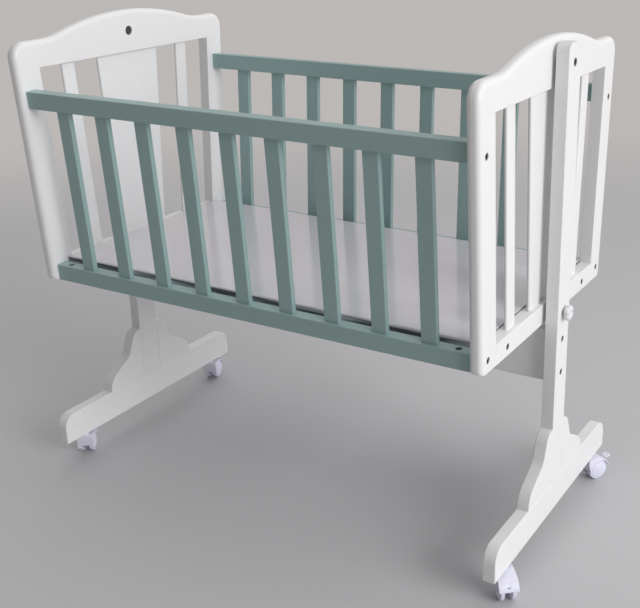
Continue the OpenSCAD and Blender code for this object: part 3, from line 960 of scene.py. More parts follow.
@dataclass(frozen=True)
class Ring:
    """One ring of a stack: where it lies along the axis, how wide it is and its shape."""

    at: float
    radius: float
    shape: Outline = Outline.ROUND

    def reach(self, angle: float) -> float:
        """Distance from the axis at an angle.

        Args:
            angle: the angle round the axis.

        Returns:
            The distance.
        """
        if self.shape is Outline.HEX:
            sector = math.pi / 3
            return self.radius * math.cos(sector / 2) / math.cos((angle % sector) - sector / 2)
        if self.shape is Outline.LOBED:
            return SwingLock.grip(angle, self.radius)
        if self.shape is Outline.THREAD:
            phase = (self.at / SwingLock.PITCH - angle / math.tau) % 1.0
            return self.radius - SwingLock.THREAD_DEPTH * abs(2 * phase - 1)
        return self.radius

    def spot(self, angle: float) -> Vector:
        """Gives the ring's point at an angle."""
        reach = self.reach(angle)
        return Vector((math.cos(angle) * reach, math.sin(angle) * reach, self.at))


def stack(name: str, rings: Sequence[Ring], count: int) -> bpy.types.Mesh:
    """Joins rings along +Z into a turned piece with capped ends.

    Args:
        name: the mesh's name.
        rings: the rings in order along the surface, from below to above on the outside.
        count: vertices in a ring.

    Returns:
        The new mesh.
    """
    bm = bmesh.new()
    angles = [math.tau * i / count for i in range(count)]
    loops = [[bm.verts.new(ring.spot(angle)) for angle in angles] for ring in rings]
    for lower, upper in zip(loops, loops[1:]):
        for i in range(count):
            j = (i + 1) % count
            bm.faces.new((lower[i], lower[j], upper[j], upper[i]))
    bm.faces.new(list(reversed(loops[0])))
    bm.faces.new(loops[-1])
    bmesh.ops.recalc_face_normals(bm, faces=bm.faces)
    mesh = bpy.data.meshes.new(name)
    bm.to_mesh(mesh)
    bm.free()
    return mesh


class Pattern:
    """A geometry node tree with named inputs, which turns a base mesh into a plain finished one."""

    def __init__(self, name: str, inputs: dict[str, str]) -> None:
        """Starts the tree.

        Args:
            name: the tree's name.
            inputs: the inputs' names and socket kinds.
        """
        tree = bpy.data.node_groups.new(name, "GeometryNodeTree")
        tree.is_modifier = True
        tree.interface.new_socket("Geometry", in_out="INPUT", socket_type="NodeSocketGeometry")
        tree.interface.new_socket("Geometry", in_out="OUTPUT", socket_type="NodeSocketGeometry")
        self.ids: dict[str, str] = {}
        for label, kind in {**inputs, "Material": "Material"}.items():
            socket = tree.interface.new_socket(label, in_out="INPUT", socket_type=f"NodeSocket{kind}")
            self.ids[label] = socket.identifier
        self.wiring = Wiring(tree)
        self.given = self.wiring.add("NodeGroupInput").outputs

    def finish(self, instances: bpy.types.NodeSocket) -> None:
        """Ends the tree: real meshes with their material.

        Args:
            instances: the copies to make real.
        """
        w = self.wiring
        real = w.add("GeometryNodeRealizeInstances")
        paint = w.add("GeometryNodeSetMaterial")
        w.join(instances, real.inputs["Geometry"])
        w.join(real.outputs[0], paint.inputs["Geometry"])
        w.join(self.given["Material"], paint.inputs["Material"])
        w.join(paint.outputs[0], w.add("NodeGroupOutput").inputs[0])

    def grow(self, name: str, base: bpy.types.Mesh, values: dict[str, object]) -> bpy.types.Object:
        """Runs the tree on a base mesh.

        Args:
            name: the new piece's name.
            base: the mesh that the tree starts from.
            values: the inputs' values by name.

        Returns:
            The piece, a plain mesh with no modifier left.
        """
        made = new_object(name, base)
        grower = made.modifiers.new("grow", "NODES")
        grower.node_group = self.wiring.tree
        for label, value in values.items():
            grower[self.ids[label]] = value
        made.data = plain_mesh(made)
        made.data.name = name
        return made


def sharp(edge: bmesh.types.BMEdge) -> float:
    """The edge rule of a piece whose roundings are in its own shape."""
    return 0.0


# ------------------------------------------------------------------------------------ sub-assemblies
@dataclass
class SubAssembly:
    """A group of pieces that is built, dressed and handed to the model's bodies."""

    shelf: Shelf
    pieces: list[bpy.types.Object] = field(default_factory=list, init=False)

    def build(self) -> None:
        """Makes the sub-assembly's own meshes."""

    def dress(self) -> None:
        """Gives the sub-assembly's carried-over nodes their finish."""

    def keep(self, obj: bpy.types.Object, body: str, slot: str, *nodes: str) -> None:
        """Hands a finished piece to its body.

        Args:
            obj: the finished piece.
            body: the body that it rides on.
            slot: the record's material slot; not used.
            nodes: the CAD nodes that it stands for.
        """
        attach(obj, body)
        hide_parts(*nodes)
        self.pieces.append(obj)

    def dress_node(self, node: str, finish: Finish) -> None:
        """Gives a carried-over node its material, and leaves its mesh alone.

        Args:
            node: the CAD node.
            finish: its finish.
        """
        obj = frame["nodes"][node]
        if not obj.material_slots:
            obj.data.materials.append(None)
        for slot in obj.material_slots:
            slot.material = self.shelf.get(finish)
        self.pieces.append(obj)

    def board(
        self, node: str, body: str, finish: Finish, slot: str, rule: EdgeRule, steps: int = 3,
        cuts: Sequence[tuple[int, float]] = (),
    ) -> None:
        """Replaces a board with the same board with eased edges.

        Args:
            node: the CAD node.
            body: the body that it rides on.
            finish: its finish.
            slot: the record's material slot.
            rule: the rounding of each edge.
            steps: faces across a rounding.
            cuts: planes where a rounding may change along a straight edge.
        """
        made = node_copy(node, f"{node}_board")
        round_edges(made, rule, self.shelf.get(finish), steps, cuts)
        self.keep(made, body, slot, node)


def wall_of(edge: bmesh.types.BMEdge) -> Vector | None:
    """Gives the normal of the face across the board's edge, where the other face looks along X.

    Args:
        edge: the edge.

    Returns:
        The normal, or None where no face, or both faces, look along X.
    """
    first, second = (f.normal for f in edge.link_faces)
    if abs(first.x) > SQUARE > abs(second.x):
        return second
    if abs(second.x) > SQUARE > abs(first.x):
        return first
    return None


def middle(edge: bmesh.types.BMEdge) -> Vector:
    """Gives the middle of an edge."""
    return (edge.verts[0].co + edge.verts[1].co) / 2


def near_axis(point: Vector, axes: Sequence[tuple[float, float]], radius: float) -> bool:
    """Says whether a point lies within a radius of one of the holes along X."""
    return any(math.hypot(point.y - y, point.z - z) < radius for y, z in axes)


def axes_of(node: str) -> list[tuple[float, float]]:
    """Gives the places across X of a node's fasteners, which also lie in the holes for them."""
    return [((lo.y + hi.y) / 2, (lo.z + hi.z) / 2) for lo, hi in solids_of(node)]


@dataclass
class EndPanels(SubAssembly):
    """The two white end panels: arched crest, leaning stiles, bottom rail and slats."""

    contour_r: float = 8.5 * MM
    foot_r: float = 1.5 * MM
    opening_r: float = 1.0 * MM
    hole_r: float = 0.5 * MM
    slat_r: float = 2.6 * MM
    hole_zone: float = 9.5 * MM
    steps: int = 6

    def __post_init__(self) -> None:
        """Reads from the model where the boards meet."""
        self.holes = axes_of("cradle_bolts") + axes_of("pivot_bolts")
        low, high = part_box("near_back_stile")
        self.faces = (low.x, high.x)
        self.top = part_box("near_crest_rail")[0].z
        self.rail_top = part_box("near_bottom_rail")[1].z
        self.opening = self.corner_y("near_back_stile", self.top)

    def corner_y(self, node: str, z: float) -> float:
        """Gives the smallest y of a node's vertices at a height, on its end faces."""
        spots = (v.co for v in frame["nodes"][node].data.vertices)
        return min(c.y for c in spots if abs(c.z - z) < CLOSE and self.on_face(c))

    def on_face(self, point: Vector) -> bool:
        """Says whether a point lies on one of the end panels' flat faces."""
        return any(abs(abs(point.x) - x) < CLOSE for x in self.faces)

    def at_face(self, edge: bmesh.types.BMEdge) -> bool:
        """Says whether an edge bounds a flat face of the panel."""
        return wall_of(edge) is not None and self.on_face(middle(edge))

    def crest(self, edge: bmesh.types.BMEdge) -> float:
        """Rounding of a crest rail: full on its contour, fine over the opening, none on a stile.

        Args:
            edge: the edge.

        Returns:
            Its radius.
        """
        if not self.at_face(edge):
            return 0.0
        wall, at = wall_of(edge), middle(edge)
        if near_axis(at, self.holes, self.hole_zone):
            return self.hole_r
        if wall.z < -SQUARE:
            return self.opening_r if abs(at.y) < self.opening else 0.0
        return self.contour_r

    def stile(self, edge: bmesh.types.BMEdge) -> float:
        """Rounding of a stile: full on its outer side, less round the lower corner.

        Args:
            edge: the edge.

        Returns:
            Its radius.
        """
        if not self.at_face(edge):
            return 0.0
        wall, at = wall_of(edge), middle(edge)
        if near_axis(at, self.holes, self.hole_zone):
            return self.hole_r
        outward = wall.y * math.copysign(1, at.y)
        if wall.z > SQUARE or (outward < -SQUARE and at.z < self.rail_top):
            return 0.0
        if outward < -SQUARE:
            return self.opening_r
        return self.foot_r + (self.contour_r - self.foot_r) * max(0.0, outward)

    def rail(self, edge: bmesh.types.BMEdge) -> float:
        """Rounding of a bottom rail: its long edges and its holes.

        Args:
            edge: the edge.

        Returns:
            Its radius.
        """
        if not self.at_face(edge):
            return 0.0
        if near_axis(middle(edge), self.holes, self.hole_zone):
            return self.hole_r
        return self.opening_r if abs(wall_of(edge).z) > SQUARE else 0.0

    def slat(self, edge: bmesh.types.BMEdge) -> float:
        """Rounding of a thin slat's long edges."""
        wall = wall_of(edge)
        return self.slat_r if wall and abs(wall.z) < SLOPED else 0.0

    def build(self) -> None:
        """Makes the boards with their rounded outer contour."""
        upright, across = white_paint(Grain.ALONG_Z), white_paint(Grain.ALONG_Y)
        ends = ((Y_AXIS, self.opening), (Y_AXIS, -self.opening))
        for end in ("near", "far"):
            self.board(f"{end}_crest_rail", "cradle", across, "white_paint", self.crest, self.steps, ends)
            self.board(f"{end}_bottom_rail", "cradle", across, "white_paint", self.rail)
            self.board(f"{end}_splat", "cradle", upright, "white_paint", self.slat)
            for side in ("front", "back"):
                self.board(
                    f"{end}_{side}_stile", "cradle", upright, "white_paint", self.stile, self.steps,
                    ((Z_AXIS, self.rail_top),),
                )
        self.board("end_slats", "cradle", upright, "white_paint", self.slat)


@dataclass
class SidePanels(SubAssembly):
    """The two sage side panels: rails with eased edges and a row of slats grown between them."""

    rail_r: float = 1.6 * MM
    long_edge: float = 0.5
    slat_r: float = 1.2 * MM
    slat_w: float = 27 * MM
    slat_t: float = 10 * MM
    lean: float = math.radians(3.2)
    corner_steps: int = 4

    def rail(self, edge: bmesh.types.BMEdge) -> float:
        """Rounding of a side rail's long edges."""
        return self.rail_r if edge.calc_length() > self.long_edge else 0.0

    def row(self) -> Pattern:
        """Builds the tree that repeats a rounded slat along X.

        Returns:
            The tree.
        """
        made = Pattern("slat row", {
            "Count": "Int", "Pitch": "Float", "Width": "Float", "Thickness": "Float", "Length": "Float",
            "Edge Radius": "Float",
        })
        w, given = made.wiring, made.given
        section = w.add("GeometryNodeCurvePrimitiveQuadrilateral")
        w.join(given["Width"], section.inputs["Width"])
        w.join(given["Thickness"], section.inputs["Height"])
        rounded = w.add("GeometryNodeFilletCurve", mode="POLY")
        w.join(section.outputs[0], rounded.inputs["Curve"])
        w.join(given["Edge Radius"], rounded.inputs["Radius"])
        rounded.inputs["Count"].default_value = self.corner_steps
        top = w.add("ShaderNodeCombineXYZ")
        w.join(given["Length"], top.inputs["Z"])
        spine = w.add("GeometryNodeCurvePrimitiveLine")
        w.join(top.outputs[0], spine.inputs["End"])
        solid = w.add("GeometryNodeCurveToMesh")
        solid.inputs["Fill Caps"].default_value = True
        w.join(spine.outputs[0], solid.inputs["Curve"])
        w.join(rounded.outputs[0], solid.inputs["Profile Curve"])
        step = w.add("ShaderNodeCombineXYZ")
        w.join(given["Pitch"], step.inputs["X"])
        places = w.add("GeometryNodeMeshLine")
        w.join(given["Count"], places.inputs["Count"])
        w.join(step.outputs[0], places.inputs["Offset"])
        copies = w.add("GeometryNodeInstanceOnPoints")
        w.join(places.outputs[0], copies.inputs["Points"])
        w.join(solid.outputs[0], copies.inputs["Instance"])
        made.finish(copies.outputs[0])
        return made

    def slats(self, side: str, sign: int, row: Pattern) -> None:
        """Grows one side's slats in the places of the CAD ones.

        Args:
            side: the side's name.
            sign: -1 for the front, which leans towards -Y, and 1 for the back.
            row: the tree that repeats a slat.
        """
        # The slats are numbered towards +X.
        names = sorted(n for n in frame["nodes"] if n.startswith(f"{side}_slat_"))
        low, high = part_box(names[0])
        paint = self.shelf.get(sage_paint(Grain.ALONG_Z))
        made = row.grow(f"{side}_slat_row", bpy.data.meshes.new("start"), {
            "Count": len(names), "Pitch": (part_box(names[-1])[0].x - low.x) / (len(names) - 1),
            "Width": self.slat_w, "Thickness": self.slat_t, "Edge Radius": self.slat_r, "Material": paint,
            "Length": (high.z - low.z - self.slat_t * math.sin(self.lean)) / math.cos(self.lean),
        })
        made.data.transform(Matrix.Rotation(-sign * self.lean, 4, "X"))
        made.data.transform(Matrix.Translation(low - corner_of(made.data.vertices, min)))
        round_edges(made, sharp, paint)
        self.keep(made, "cradle", "sage_paint", *names)

    def build(self) -> None:
        """Makes the four rails and the two rows of slats."""
        paint = sage_paint(Grain.ALONG_X)
        for node in ("front_top_rail", "front_bottom_rail", "back_top_rail", "back_bottom_rail"):
            self.board(node, "cradle", paint, "sage_paint", self.rail, self.corner_steps)
        row = self.row()
        for side, sign in (("front", -1), ("back", 1)):
            self.slats(side, sign, row)


@dataclass
class Deck(SubAssembly):
    """The glossy deck board on its cleats."""

    edge_r: float = 1.2 * MM
    long_edge: float = 15 * MM

    def build(self) -> None:
        """Eases the edges of the deck board and its cleats."""
        self.board("deck_board", "cradle", DECK_LAMINATE, "deck_laminate", lambda edge: self.edge_r)
        self.board("deck_cleats", "cradle", white_paint(Grain.ALONG_Y), "white_paint", self.cleat)

    def cleat(self, edge: bmesh.types.BMEdge) -> float:
        """Rounding of a cleat's straight edges."""
        return self.edge_r if edge.calc_length() > self.long_edge else 0.0


@dataclass
class Stand(SubAssembly):
    """Posts, feet, shaped braces and the stretcher."""

    board_r: float = 1.6 * MM
    joint_r: float = 0.5 * MM
    hole_r: float = 0.5 * MM
    hole_zone: float = 7.5 * MM
    long_edge: float = 0.5
    brace_h: float = 110 * MM

    def __post_init__(self) -> None:
        """Reads from the model where the holes are and where the boards meet."""
        self.holes = axes_of("pivot_bolts") + axes_of("stretcher_bolts") + axes_of("lock_shank")
        low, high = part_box("near_post")
        self.faces = (low.x, high.x)
        self.post_half = high.y
        self.foot_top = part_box("near_foot")[1].z
        self.brace_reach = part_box("foot_braces")[1].y

    def edge(self, edge: bmesh.types.BMEdge) -> float:
        """Rounding of the stand's boards: less at holes and where two boards meet.

        Args:
            edge: the edge.

        Returns:
            Its radius.
        """
        wall, at = wall_of(edge), middle(edge)
        if near_axis(at, self.holes, self.hole_zone):
            return self.hole_r if wall else 0.0
        if wall is None or all(abs(abs(at.x) - x) > CLOSE for x in self.faces):
            return 0.0
        on_post = abs(abs(at.y) - self.post_half) < CLOSE and abs(wall.y) > SQUARE
        on_foot = abs(at.z - self.foot_top) < CLOSE and abs(wall.z) > SQUARE
        if on_foot and abs(at.y) < self.brace_reach:
            return self.joint_r
        if on_post and self.foot_top < at.z < self.foot_top + self.brace_h:
            return self.joint_r
        return self.board_r

    def stretcher(self, edge: bmesh.types.BMEdge) -> float:
        """Rounding of the stretcher's long edges."""
        return self.board_r if edge.calc_length() > self.long_edge else 0.0

    def build(self) -> None:
        """Eases every board of the stand."""
        level = white_paint(Grain.ALONG_Y)
        ends = ((Y_AXIS, self.brace_reach), (Y_AXIS, -self.brace_reach))
        for end in ("near", "far"):
            self.board(f"{end}_post", "stand", white_paint(Grain.ALONG_Z), "white_paint", self.edge)
            self.board(f"{end}_foot", "stand", level, "white_paint", self.edge, cuts=ends)
        self.board("foot_braces", "stand", level, "white_paint", self.edge)
        self.board("stretcher", "stand", white_paint(Grain.ALONG_X), "white_paint", self.stretcher)


@dataclass(frozen=True)
class BoltKind:
    """The bolts of one CAD node: the body that they ride on and their sizes."""

    node: str
    body: str
    head_r: float = 5 * MM
    head_h: float = 6 * MM
    shank_r: float = 3 * MM
    key_r: float = 2.5 * MM

    def shank_length(self) -> float:
        """Gives the length under the head."""
        overall = min(high.x - low.x for low, high in solids_of(self.node))
        return round(overall, LENGTH_DIGITS) - self.head_h


@dataclass
class Fasteners(SubAssembly):
    """Bolts with hex sockets, the pivots' nuts and washers, and the barrel nuts."""

    KINDS = (
        BoltKind("cradle_bolts", "cradle"),
        BoltKind("stretcher_bolts", "stand"),
        BoltKind("pivot_bolts", "stand", head_r=6.5 * MM, head_h=8 * MM, shank_r=4 * MM, key_r=3 * MM),
    )
    chamfer: float = 0.6 * MM
    socket_depth: float = 3.5 * MM
    socket_tip: float = 0.3
    count: int = 48

    def bolt(self, kind: BoltKind) -> bpy.types.Mesh:
        """Makes a socket-head bolt along +Z, with its head's seat at 0.

        Args:
            kind: the bolt's kind.

        Returns:
            The new mesh.
        """
        c, length, shank, key = self.chamfer, kind.shank_length(), kind.shank_r, kind.key_r
        head, top, foot = kind.head_r, kind.head_h, kind.head_h - self.socket_depth
        rings = [
            Ring(-length, shank - c), Ring(c - length, shank), Ring(0, shank), Ring(0, head - c / 2),
            Ring(c / 2, head), Ring(top - c, head), Ring(top - c / 3, head - c / 3), Ring(top, head - c),
            Ring(top, key + c / 2), Ring(top - c / 2, key, Outline.HEX), Ring(foot, key, Outline.HEX),
            Ring(foot - c, key * self.socket_tip),
        ]
        return stack(kind.node, rings, self.count)

    def copies(self) -> Pattern:
        """Builds the tree that sets a fastener on every point, along the point's own direction.

        Returns:
            The tree.
        """
        made = Pattern("fastener set", {"Fastener": "Object"})
        w, given = made.wiring, made.given
        info = w.add("GeometryNodeObjectInfo")
        w.join(given["Fastener"], info.inputs["Object"])
        aim = w.add("GeometryNodeInputNamedAttribute", data_type="FLOAT_VECTOR")
        aim.inputs["Name"].default_value = "aim"
        turn = w.add("FunctionNodeAlignRotationToVector", axis="Z")
        w.join(next(s for s in aim.outputs if s.enabled), turn.inputs["Vector"])
        onto = w.add("GeometryNodeInstanceOnPoints")
        w.join(given["Geometry"], onto.inputs["Points"])
        w.join(info.outputs["Geometry"], onto.inputs["Instance"])
        w.join(turn.outputs[0], onto.inputs["Rotation"])
        made.finish(onto.outputs[0])
        return made

    def points(self, kind: BoltKind) -> bpy.types.Mesh:
        """Gives a point at each bolt's seat, with the direction its head looks in.

        Args:
            kind: the bolts' kind.

        Returns:
            A mesh of loose points with an "aim" attribute.
        """
        places, aims = [], []
        for low, high in solids_of(kind.node):
            centre = (low + high) / 2
            out = math.copysign(1.0, centre.x)
            top = high.x if out > 0 else low.x
            places.append((top - out * kind.head_h, centre.y, centre.z))
            aims.append((out, 0.0, 0.0))
        mesh = bpy.data.meshes.new("points")
        mesh.from_pydata(places, [], [])
        layer = mesh.attributes.new("aim", "FLOAT_VECTOR", "POINT")
        layer.data.foreach_set("vector", [x for aim in aims for x in aim])
        return mesh

    def build(self) -> None:
        """Makes the three kinds of bolt and sets them in their holes."""
        copies = self.copies()
        paint = self.shelf.get(DARK_STEEL)
        for kind in self.KINDS:
            template = new_object(f"{kind.node}_one", self.bolt(kind))
            values = {"Fastener": template, "Material": paint}
            made = copies.grow(f"{kind.node}_set", self.points(kind), values)
            bpy.data.objects.remove(template)
            round_edges(made, sharp, paint)
            self.keep(made, kind.body, "dark_steel", kind.node)

    def dress(self) -> None:
        """Finishes the nuts and washers that keep their CAD shape."""
        for node in ("pivot_nuts", "barrel_nuts", "stretcher_nuts"):
            self.dress_node(node, DARK_STEEL)
        self.dress_node("spacer_washers", WASHER_NYLON)


@dataclass
class SwingLock(SubAssembly):
    """The lobed hand knob and the threaded shank that it turns on.

    The dish in the knob's face is given as distances from the axis and depths.
    """

    LOBES = 6
    GRIP_R = 5 * MM
    GRIP_DEPTH = 2.2 * MM
    PITCH = 1.25 * MM
    THREAD_DEPTH = 0.6 * MM
    edge_r: float = 4 * MM
    boss_r: float = 8 * MM
    boss_h: float = 3 * MM
    bore_r: float = 5 * MM
    under_in: float = 1.5 * MM
    under_h: float = 0.8 * MM
    edge_steps: int = 6
    dish: tuple[tuple[float, float], ...] = ((6.5 * MM, 0.0), (6 * MM, 0.5 * MM), (0.5 * MM, 0.7 * MM))
    count: int = 192
    lead: float = 1 * MM
    lead_in: float = 1.4 * MM
    turn_steps: int = 6
    shank_count: int = 36

    @staticmethod
    def grip(angle: float, radius: float) -> float:
        """Distance from the axis to the scalloped rim at an angle.

        Args:
            angle: the angle round the axis.
            radius: the rim's full radius.

        Returns:
            The distance.
        """
        sector = math.tau / SwingLock.LOBES
        phi = (angle % sector) - sector / 2
        out = radius + SwingLock.GRIP_R - SwingLock.GRIP_DEPTH
        inside = SwingLock.GRIP_R**2 - (out * math.sin(phi)) ** 2
        if inside <= 0:
            return radius
        return min(radius, out * math.cos(phi) - math.sqrt(inside))

    def knob(self) -> bpy.types.Mesh:
        """Makes the knob along +Z from 0, with a rounded rim and a shallow dish in its face.

        Returns:
            The new mesh.
        """
        low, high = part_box("lock_knob")
        length, radius = high.x - low.x, (high.z - low.z) / 2
        r, under = self.edge_r, self.boss_h
        rings = [
            Ring(0, self.bore_r), Ring(0, self.boss_r), Ring(under, self.boss_r),
            Ring(under, radius - self.under_in, Outline.LOBED),
            Ring(under + self.under_h, radius, Outline.LOBED),
            Ring(length - r, radius, Outline.LOBED),
        ]
        for i in range(1, self.edge_steps + 1):
            a = math.pi / 2 * i / self.edge_steps
            rings.append(Ring(length - r + r * math.sin(a), radius - r + r * math.cos(a), Outline.LOBED))
        rings += [Ring(length - depth, reach) for reach, depth in self.dish]
        return stack("lock_knob_grip", rings, self.count)

    def shank(self) -> bpy.types.Mesh:
        """Makes the threaded shank along +Z from 0, with a pointed lead-in at its tip.

        Returns:
            The new mesh.
        """
        low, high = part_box("lock_shank")
        length, radius = high.x - low.x, (high.z - low.z) / 2
        core = radius - self.THREAD_DEPTH
        step = self.PITCH / self.turn_steps
        count = int((length - 2 * self.lead) / step)
        rings = [Ring(0, radius - self.lead_in), Ring(self.lead, core)]
        rings += [Ring(self.lead + step * (i + 1), radius, Outline.THREAD) for i in range(count)]
        rings.append(Ring(length, core))
        return stack("lock_shank_thread", rings, self.shank_count)

    def build(self) -> None:
        """Makes both pieces and sets them on the lock's axis."""
        for node, mesh, finish, slot in (
            ("lock_knob", self.knob(), KNOB_PLASTIC, "knob_plastic"),
            ("lock_shank", self.shank(), ZINC_STEEL, "zinc_steel"),
        ):
            low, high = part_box(node)
            mesh.transform(Matrix.Rotation(math.pi / 2, 4, "Y"))
            mesh.transform(Matrix.Translation((low.x, (low.y + high.y) / 2, (low.z + high.z) / 2)))
            made = new_object(mesh.name, mesh)
            round_edges(made, sharp, self.shelf.get(finish))
            self.keep(made, node, slot, node)


@dataclass
class Casters(SubAssembly):
    """Four twin-wheel casters, two of them with a brake lever.

    Each is made in its own frame, with the stem over the origin and the wheels towards +X, and is
    then put in its place. A name in _at is a place along the axle, and an arc is angles at the axle,
    up from +X. A pair of lengths is in X and Z: the pin's from the axle and the tab's from the pin.
    """

    corners: tuple[str, ...] = ("near_front", "near_back", "far_front", "far_back")
    braked: tuple[str, ...] = ("near_back", "far_back")
    wheel_r: float = 20 * MM
    inner_at: float = 6.5 * MM
    rim_at: float = 12.5 * MM
    face_at: float = 17 * MM
    axle_r: float = 3 * MM
    rim_r: float = 1.2 * MM
    rim_steps: int = 5
    disc_r: float = 16 * MM
    disc_land: float = 1 * MM
    dome_radii: tuple[float, ...] = (13 * MM, 10 * MM, 8 * MM)
    hub_r: float = 5 * MM
    cap_radii: tuple[float, ...] = (2 * MM, 0.3 * MM)
    groove: float = 0.5 * MM
    play: float = 0.3 * MM
    web_half: float = 5.5 * MM
    hood_r: float = 23.2 * MM
    wall: float = 2 * MM
    hood_top: float = 45 * MM
    hood_low: float = 14 * MM
    tail_low: float = 25 * MM
    tail_from: float = 8 * MM
    head_low: float = 20 * MM
    head_from: float = -10 * MM
    head_span: float = math.radians(24)
    head_steps: int = 8
    back_from: float = math.radians(80)
    back_steps: int = 24
    neck_r: float = 8 * MM
    neck_top: float = 49.7 * MM
    neck_low: float = 35 * MM
    stem_r: float = 4 * MM
    shoulder_r: float = 1.4 * MM
    shoulder_in: float = 0.6 * MM
    fine_r: float = 0.4 * MM
    mark_half: float = 3.2 * MM
    mark_depth: float = 0.5 * MM
    mark_arc: tuple[float, float] = (math.radians(32), math.radians(50))
    dash_half: float = 1.9 * MM
    dash_depth: float = 3 * MM
    dash_arc: tuple[float, float] = (math.radians(29), math.radians(31.5))
    mark_steps: int = 6
    pin: tuple[float, float] = (13 * MM, 7 * MM)
    pin_r: float = 1.5 * MM
    pin_half: float = 8.25 * MM
    slot_half: float = 3 * MM
    slot_r: float = 7.6 * MM
    tab_from: tuple[float, float] = (9 * MM, 10 * MM)
    tab_to: tuple[float, float] = (20 * MM, 13.5 * MM)
    tab_mark_half: float = 3.5 * MM
    tab_mark_share: tuple[float, float] = (0.35, 0.7)
    count: int = 96

    def __post_init__(self) -> None:
        """Reads from the joints where each caster stands and how it is turned."""
        spots = {j["name"]: Vector(j["pos_m"]) for j in frame["joints"] if "pos_m" in j}
        self.places: dict[str, Matrix] = {}
        for corner in self.corners:
            stem = spots[f"{corner}_swivel"]
            reach = spots[f"{corner}_roll"] - stem
            turn = Matrix.Rotation(math.atan2(reach.y, reach.x), 4, "Z")
            self.places[corner] = Matrix.Translation((stem.x, stem.y, 0)) @ turn
            # The way from stem to axle, the same at every corner.
            self.trail = math.hypot(reach.x, reach.y)

    def dome(self, radius: float) -> float:
        """Distance of the wheel's domed face from the middle, at a distance from the axle.

        Args:
            radius: the distance from the axle.

        Returns:
            The distance from the middle.
        """
        rise = self.face_at - self.rim_at
        ball = (self.wheel_r**2 + rise**2) / (2 * rise)
        return self.face_at - ball + math.sqrt(ball**2 - radius**2)

    def wheel_side(self) -> list[Ring]:
        """Gives one wheel's rings: inner face, tread, rounded rim, grooved dome and hub cap.

        Returns:
            The rings, from the inner face to the middle of the cap.
        """
        rings = [
            Ring(self.inner_at, self.axle_r), Ring(self.inner_at, self.wheel_r - self.rim_r / 2),
            Ring(self.inner_at + self.rim_r / 2, self.wheel_r),
        ]
        corner_r = self.wheel_r - self.rim_r
        corner_at = self.dome(corner_r) - self.rim_r
        rings += [
            Ring(corner_at + self.rim_r * math.sin(a), corner_r + self.rim_r * math.cos(a))
            for a in (math.radians(90 * i / self.rim_steps) for i in range(self.rim_steps))
        ]
        profile = [(self.disc_r + self.disc_land, 0.0), *self.grooved(self.disc_r)]
        profile += [(radius, 0.0) for radius in self.dome_radii] + self.grooved(self.hub_r)
        profile += [(radius, 0.0) for radius in self.cap_radii]
        return rings + [Ring(self.dome(radius) - depth, radius) for radius, depth in profile]

    def grooved(self, radius: float) -> list[tuple[float, float]]:
        """Gives the groove round a radius, from outside in, as distances from the axle and depths."""
        outer, deep = radius + self.groove, self.groove
        return [(outer, 0.0), (outer, deep), (radius, deep), (radius, 0.0)]

    def wheels(self, corner: str) -> bpy.types.Object:
        """Makes a caster's two domed wheels on their axle.

        Args:
            corner: the caster's place in the stand.

        Returns:
            The piece.
        """
        side = self.wheel_side()
        mirrored = [Ring(-ring.at, ring.radius) for ring in reversed(side)]
        made = new_object(f"{corner}_wheel_pair", stack("wheels", mirrored + side, self.count))
        made.data.transform(self.across_axle())
        round_edges(made, sharp, self.shelf.get(WHEEL_PLASTIC))
        return made

    def across_axle(self) -> Matrix:
        """Gives the matrix that lays a turned piece along the axle."""
        return Matrix.Translation((self.trail, 0, self.wheel_r)) @ Matrix.Rotation(-math.pi / 2, 4, "X")

    def drum(self, low: float, high: float, radius: float, place: Matrix) -> bpy.types.Object:
        """Makes a drum, as a tool or a neck.

        Args:
            low: where it starts on its axis.
            high: where it ends.
            radius: its radius.
            place: where it is put.

        Returns:
            The drum.
        """
        made = new_object("drum", stack("drum", [Ring(low, radius), Ring(high, radius)], self.count))
        made.data.transform(place)
        return made

    def on_arc(self, radius: float, angles: tuple[float, float], steps: int) -> list[tuple[float, float]]:
        """Gives points in X and Z on an arc about the axle."""
        spots = (angles[0] + (angles[1] - angles[0]) * i / steps for i in range(steps + 1))
        return [(self.trail + radius * math.cos(a), self.wheel_r + radius * math.sin(a)) for a in spots]

    def sunk_mark(self, angles: tuple[float, float], half: float, depth: float) -> bpy.types.Object:
        """Makes a tool that sinks a mark into the hood's round back.

        Args:
            angles: the arc that it takes up.
            half: half its width.
            depth: how deep it is sunk.

        Returns:
            The tool.
        """
        outline = self.on_arc(self.hood_r - depth, angles, self.mark_steps)
        outline += self.on_arc(self.hood_r + self.wall, (angles[1], angles[0]), self.mark_steps)
        return prism("mark", outline, half)

    def brake_slot(self) -> list[bpy.types.Object]:
        """Makes the tools that open the hood for the brake lever and its pin.

        Returns:
            The tools.
        """
        x, z = self.trail + self.pin[0], self.wheel_r + self.pin[1]
        at_pin = Matrix.Translation((x, 0, z)) @ Matrix.Rotation(-math.pi / 2, 4, "X")
        low = self.head_low - self.wall
        outline = [
            (x, z + self.slot_r), (x - self.wall, z), (x - 2 * self.wall, low), (x + self.hood_r, low),
            (x + self.hood_r, z + self.slot_r),
        ]
        return [
            prism("slot", outline, self.slot_half),
            self.drum(-self.slot_half, self.slot_half, self.slot_r, at_pin),
            self.drum(-self.pin_half, self.pin_half, self.pin_r + self.play, at_pin),
        ]

